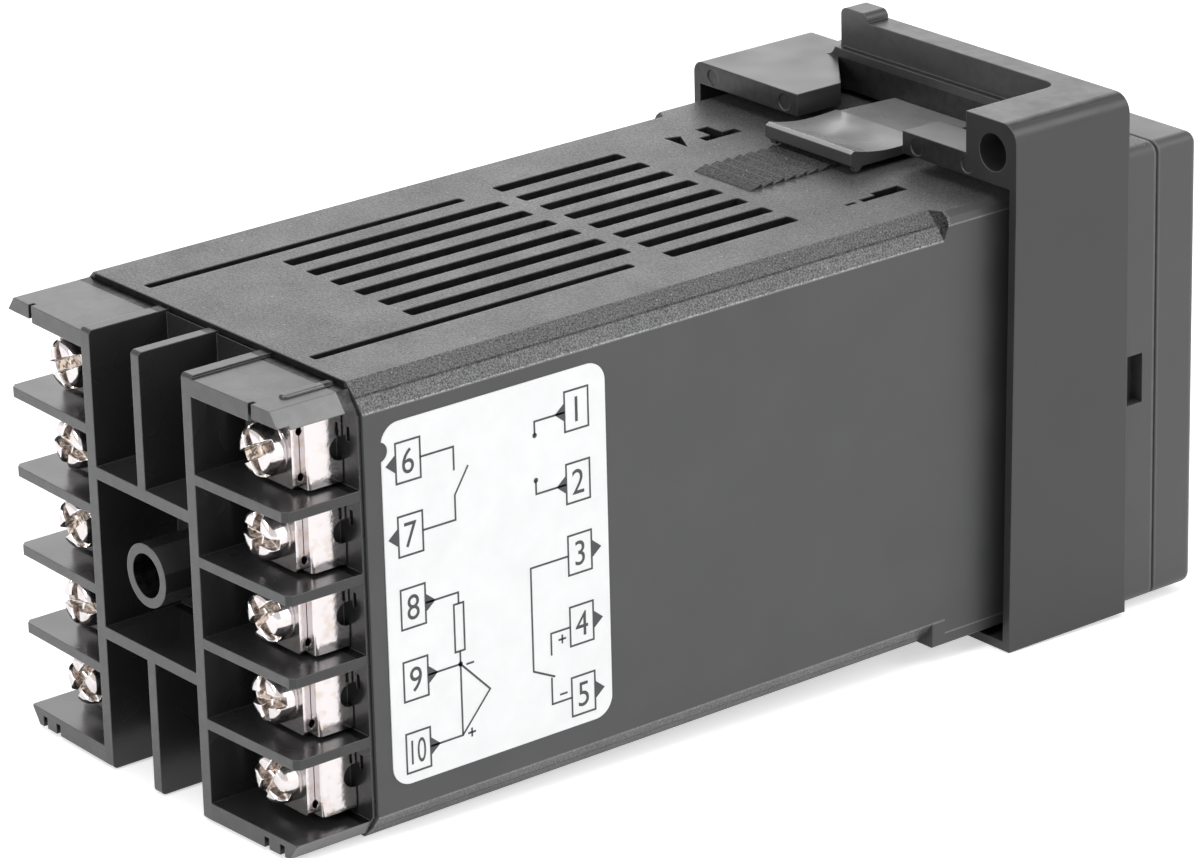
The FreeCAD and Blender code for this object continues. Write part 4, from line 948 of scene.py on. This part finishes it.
class CONTROLLER_OT_boards(bpy.types.Operator):
    """Finishes the circuit boards and what is mounted on them"""
    bl_idname = "controller.boards"
    bl_label = "Boards"

    def execute(self, context):
        board = printed_board("board_finish")
        for node in ("display_board", "main_board", "power_board"):
            finish_node(node, board)
        pads = simple_finish("pad_finish", (0.83, 0.62, 0.25), 0.25, 1 * MM, metallic=1.0)
        finish_node("contact_pads", pads)
        ferrite = simple_finish("ferrite_finish", (0.05, 0.05, 0.055), 0.55, 0.6 * MM,
                                contrast=0.25, depth=0.02 * MM)
        finish_node("transformer_core", ferrite)
        tape = banded("tape_finish", (0.70, 0.52, 0.06), (0.55, 0.38, 0.04), 2.2 * MM, axis=2,
                      roughness=0.28)
        finish_node("transformer_coil", tape)
        sleeve = banded("sleeve_finish", (0.015, 0.02, 0.07), (0.5, 0.5, 0.52), 11 * MM, axis=2,
                        roughness=0.3, share=0.9)
        finish_node("mains_capacitor", sleeve)
        relay = simple_finish("relay_finish", (0.02, 0.05, 0.22), 0.33, 4 * MM)
        for node in ("output_relay", "alarm_relay"):
            finish_node(node, relay)
        chip = simple_finish("chip_finish", (0.022, 0.022, 0.024), 0.5, 1.5 * MM)
        for node in ("microcontroller", "input_amplifier", "small_parts"):
            finish_node(node, chip)
        fuse = banded("fuse_finish", (0.72, 0.72, 0.70), (0.8, 0.79, 0.75), 13 * MM, axis=1,
                      roughness=0.3, share=0.8)
        finish_node("mains_fuse", fuse)
        winding = banded("winding_finish", (0.36, 0.13, 0.04), (0.22, 0.07, 0.02), 0.7 * MM,
                         axis=1, roughness=0.3)
        finish_node("filter_choke", winding)
        return {"FINISHED"}


def softbox(name, place, size, power):
    """Square area light that looks at the middle of the object."""
    data = bpy.data.lights.new(name, "AREA")
    data.shape = "SQUARE"
    data.size = size
    data.energy = power
    lamp = bpy.data.objects.new(name, data)
    lamp.location = place
    lamp.rotation_euler = (Vector(LAMP_AIM) - Vector(place)).to_track_quat("-Z", "Y").to_euler()
    bpy.context.scene.collection.objects.link(lamp)


def bare_ray(tree):
    """1 for rays that see the background itself: camera, mirrored and transmitted ones."""
    path = tree.nodes.new("ShaderNodeLightPath")
    seen = maths(tree, "MAXIMUM", path.outputs["Is Camera Ray"], path.outputs["Is Glossy Ray"])
    return maths(tree, "MAXIMUM", seen, path.outputs["Is Transmission Ray"])


def background(stage):
    """White where it is seen, and a soft grey where it only lights."""
    world = bpy.data.worlds.new("studio")
    bpy.context.scene.world = world
    world.use_nodes = True
    tree = world.node_tree
    tree.nodes.clear()
    output = tree.nodes.new("ShaderNodeOutputWorld")
    strength = spread(tree, bare_ray(tree), 0.0, 1.0, stage.ambient, 1.0)
    shader = add(tree, "ShaderNodeBackground", Color=(1, 1, 1, 1), Strength=strength)
    tree.links.new(shader.outputs[0], output.inputs[0])


def floor_mesh():
    """Plane just under the lowest edge of the bracket and the lower rear edge of the block: its
    height is a straight line in y.
    """
    low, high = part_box("mounting_bracket")
    block_low, block_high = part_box("terminal_block")
    slope = (block_low.z - low.z) / (block_high.y - high.y)
    ends = (-FLOOR_REACH, FLOOR_REACH)
    level = low.z - FLOOR_GAP
    points = np.array([(x, y, level + slope * (y - high.y)) for x in ends for y in ends])
    return new_mesh("floor", points, grid_faces(2, 2).tolist())


def floor_finish(stage):
    """Pale matt floor that is near white to the eye and still takes a shadow. Away from the object,
    where the lamps' light ends, its own white takes over.
    """
    material, tree, coordinates, shader = start_material("floor_finish")
    place = coordinates.outputs["Object"]
    tone = spread(tree, noise(tree, place, 40 * MM), 0.3, 0.7)
    base = blend(tree, tone, rgba(stage.floor, 0.99), rgba(stage.floor, 1.01))
    distance = add(tree, "ShaderNodeVectorMath", {"operation": "LENGTH"}, i0=place).outputs["Value"]
    white = spread(tree, distance, *GLOW_REACH, *FLOOR_GLOW)
    glow = maths(tree, "MULTIPLY", bare_ray(tree), white)
    feed(tree, shader, Base_Color=base, Roughness=0.9, Emission_Color=(1, 1, 1, 1),
         Emission_Strength=glow, Specular_IOR_Level=0.1)
    return material


def aim_camera(stage):
    """Camera at the viewing angle of the photograph, turned by its roll."""
    azimuth, elevation, roll = stage.azimuth, stage.elevation, stage.roll
    flat = math.cos(elevation)
    back = Vector((math.sin(azimuth) * flat, -math.cos(azimuth) * flat, math.sin(elevation)))
    right = Vector((math.cos(azimuth), math.sin(azimuth), 0))
    up = back.cross(right)
    target = Vector(CASE_MIDDLE) + right * stage.aim_right + up * stage.aim_up
    level = right * math.cos(roll) + up * math.sin(roll)
    top = up * math.cos(roll) - right * math.sin(roll)
    data = bpy.data.cameras.new("camera")
    data.lens = stage.lens
    data.sensor_width = SENSOR_WIDTH
    data.clip_start = 0.01
    data.clip_end = 20.0
    camera = bpy.data.objects.new("camera", data)
    turn = Matrix((level, top, back)).transposed().to_4x4()
    camera.matrix_world = Matrix.Translation(target + back * stage.distance) @ turn
    bpy.context.scene.collection.objects.link(camera)
    bpy.context.scene.camera = camera


class CONTROLLER_OT_stage(bpy.types.Operator):
    """Makes the floor, the background, the lights and the camera"""
    bl_idname = "controller.stage"
    bl_label = "Stage"

    def execute(self, context):
        stage = context.scene.controller_stage
        context.scene.view_settings.view_transform = "Standard"
        background(stage)
        mesh = floor_mesh()
        mesh.materials.append(floor_finish(stage))
        floor = bpy.data.objects.new("floor", mesh)
        context.scene.collection.objects.link(floor)
        for name, place, size, power in SOFTBOXES:
            softbox(name, place, size, getattr(stage, power))
        aim_camera(stage)
        return {"FINISHED"}


OPERATORS = (
    CONTROLLER_OT_case,
    CONTROLLER_OT_terminal_block,
    CONTROLLER_OT_bracket,
    CONTROLLER_OT_terminals,
    CONTROLLER_OT_label,
    CONTROLLER_OT_front,
    CONTROLLER_OT_boards,
    CONTROLLER_OT_stage,
)


class CONTROLLER_PT_panel(bpy.types.Panel):
    """Lists the pieces of the controller and their settings"""
    bl_idname = "CONTROLLER_PT_panel"
    bl_label = "Temperature controller"
    bl_space_type = "VIEW_3D"
    bl_region_type = "UI"
    bl_category = "Controller"

    def draw(self, context):
        for operator in OPERATORS:
            self.layout.operator(operator.bl_idname)
        for name in SETTINGS:
            group = getattr(context.scene, name)
            for key in group.bl_rna.properties.keys():
                if key not in ("rna_type", "name"):
                    self.layout.prop(group, key)


SETTINGS = {
    "controller_plastics": PlasticSettings,
    "controller_metal": MetalSettings,
    "controller_label": LabelSettings,
    "controller_stage": StageSettings,
}


def register():
    for name, group in SETTINGS.items():
        bpy.utils.register_class(group)
        setattr(bpy.types.Scene, name, PointerProperty(type=group))
    for operator in OPERATORS:
        bpy.utils.register_class(operator)
    bpy.utils.register_class(CONTROLLER_PT_panel)


def unregister():
    bpy.utils.unregister_class(CONTROLLER_PT_panel)
    for operator in reversed(OPERATORS):
        bpy.utils.unregister_class(operator)
    for name, group in SETTINGS.items():
        delattr(bpy.types.Scene, name)
        bpy.utils.unregister_class(group)


def corners(box):
    return [list(corner) for corner in box]


def main():
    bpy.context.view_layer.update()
    register()
    bpy.ops.controller.case()
    bpy.ops.controller.terminal_block()
    bpy.ops.controller.bracket()
    bpy.ops.controller.terminals()
    bpy.ops.controller.label()
    bpy.ops.controller.front()
    bpy.ops.controller.boards()
    bpy.ops.controller.stage()


if __name__ == "__main__":
    main()
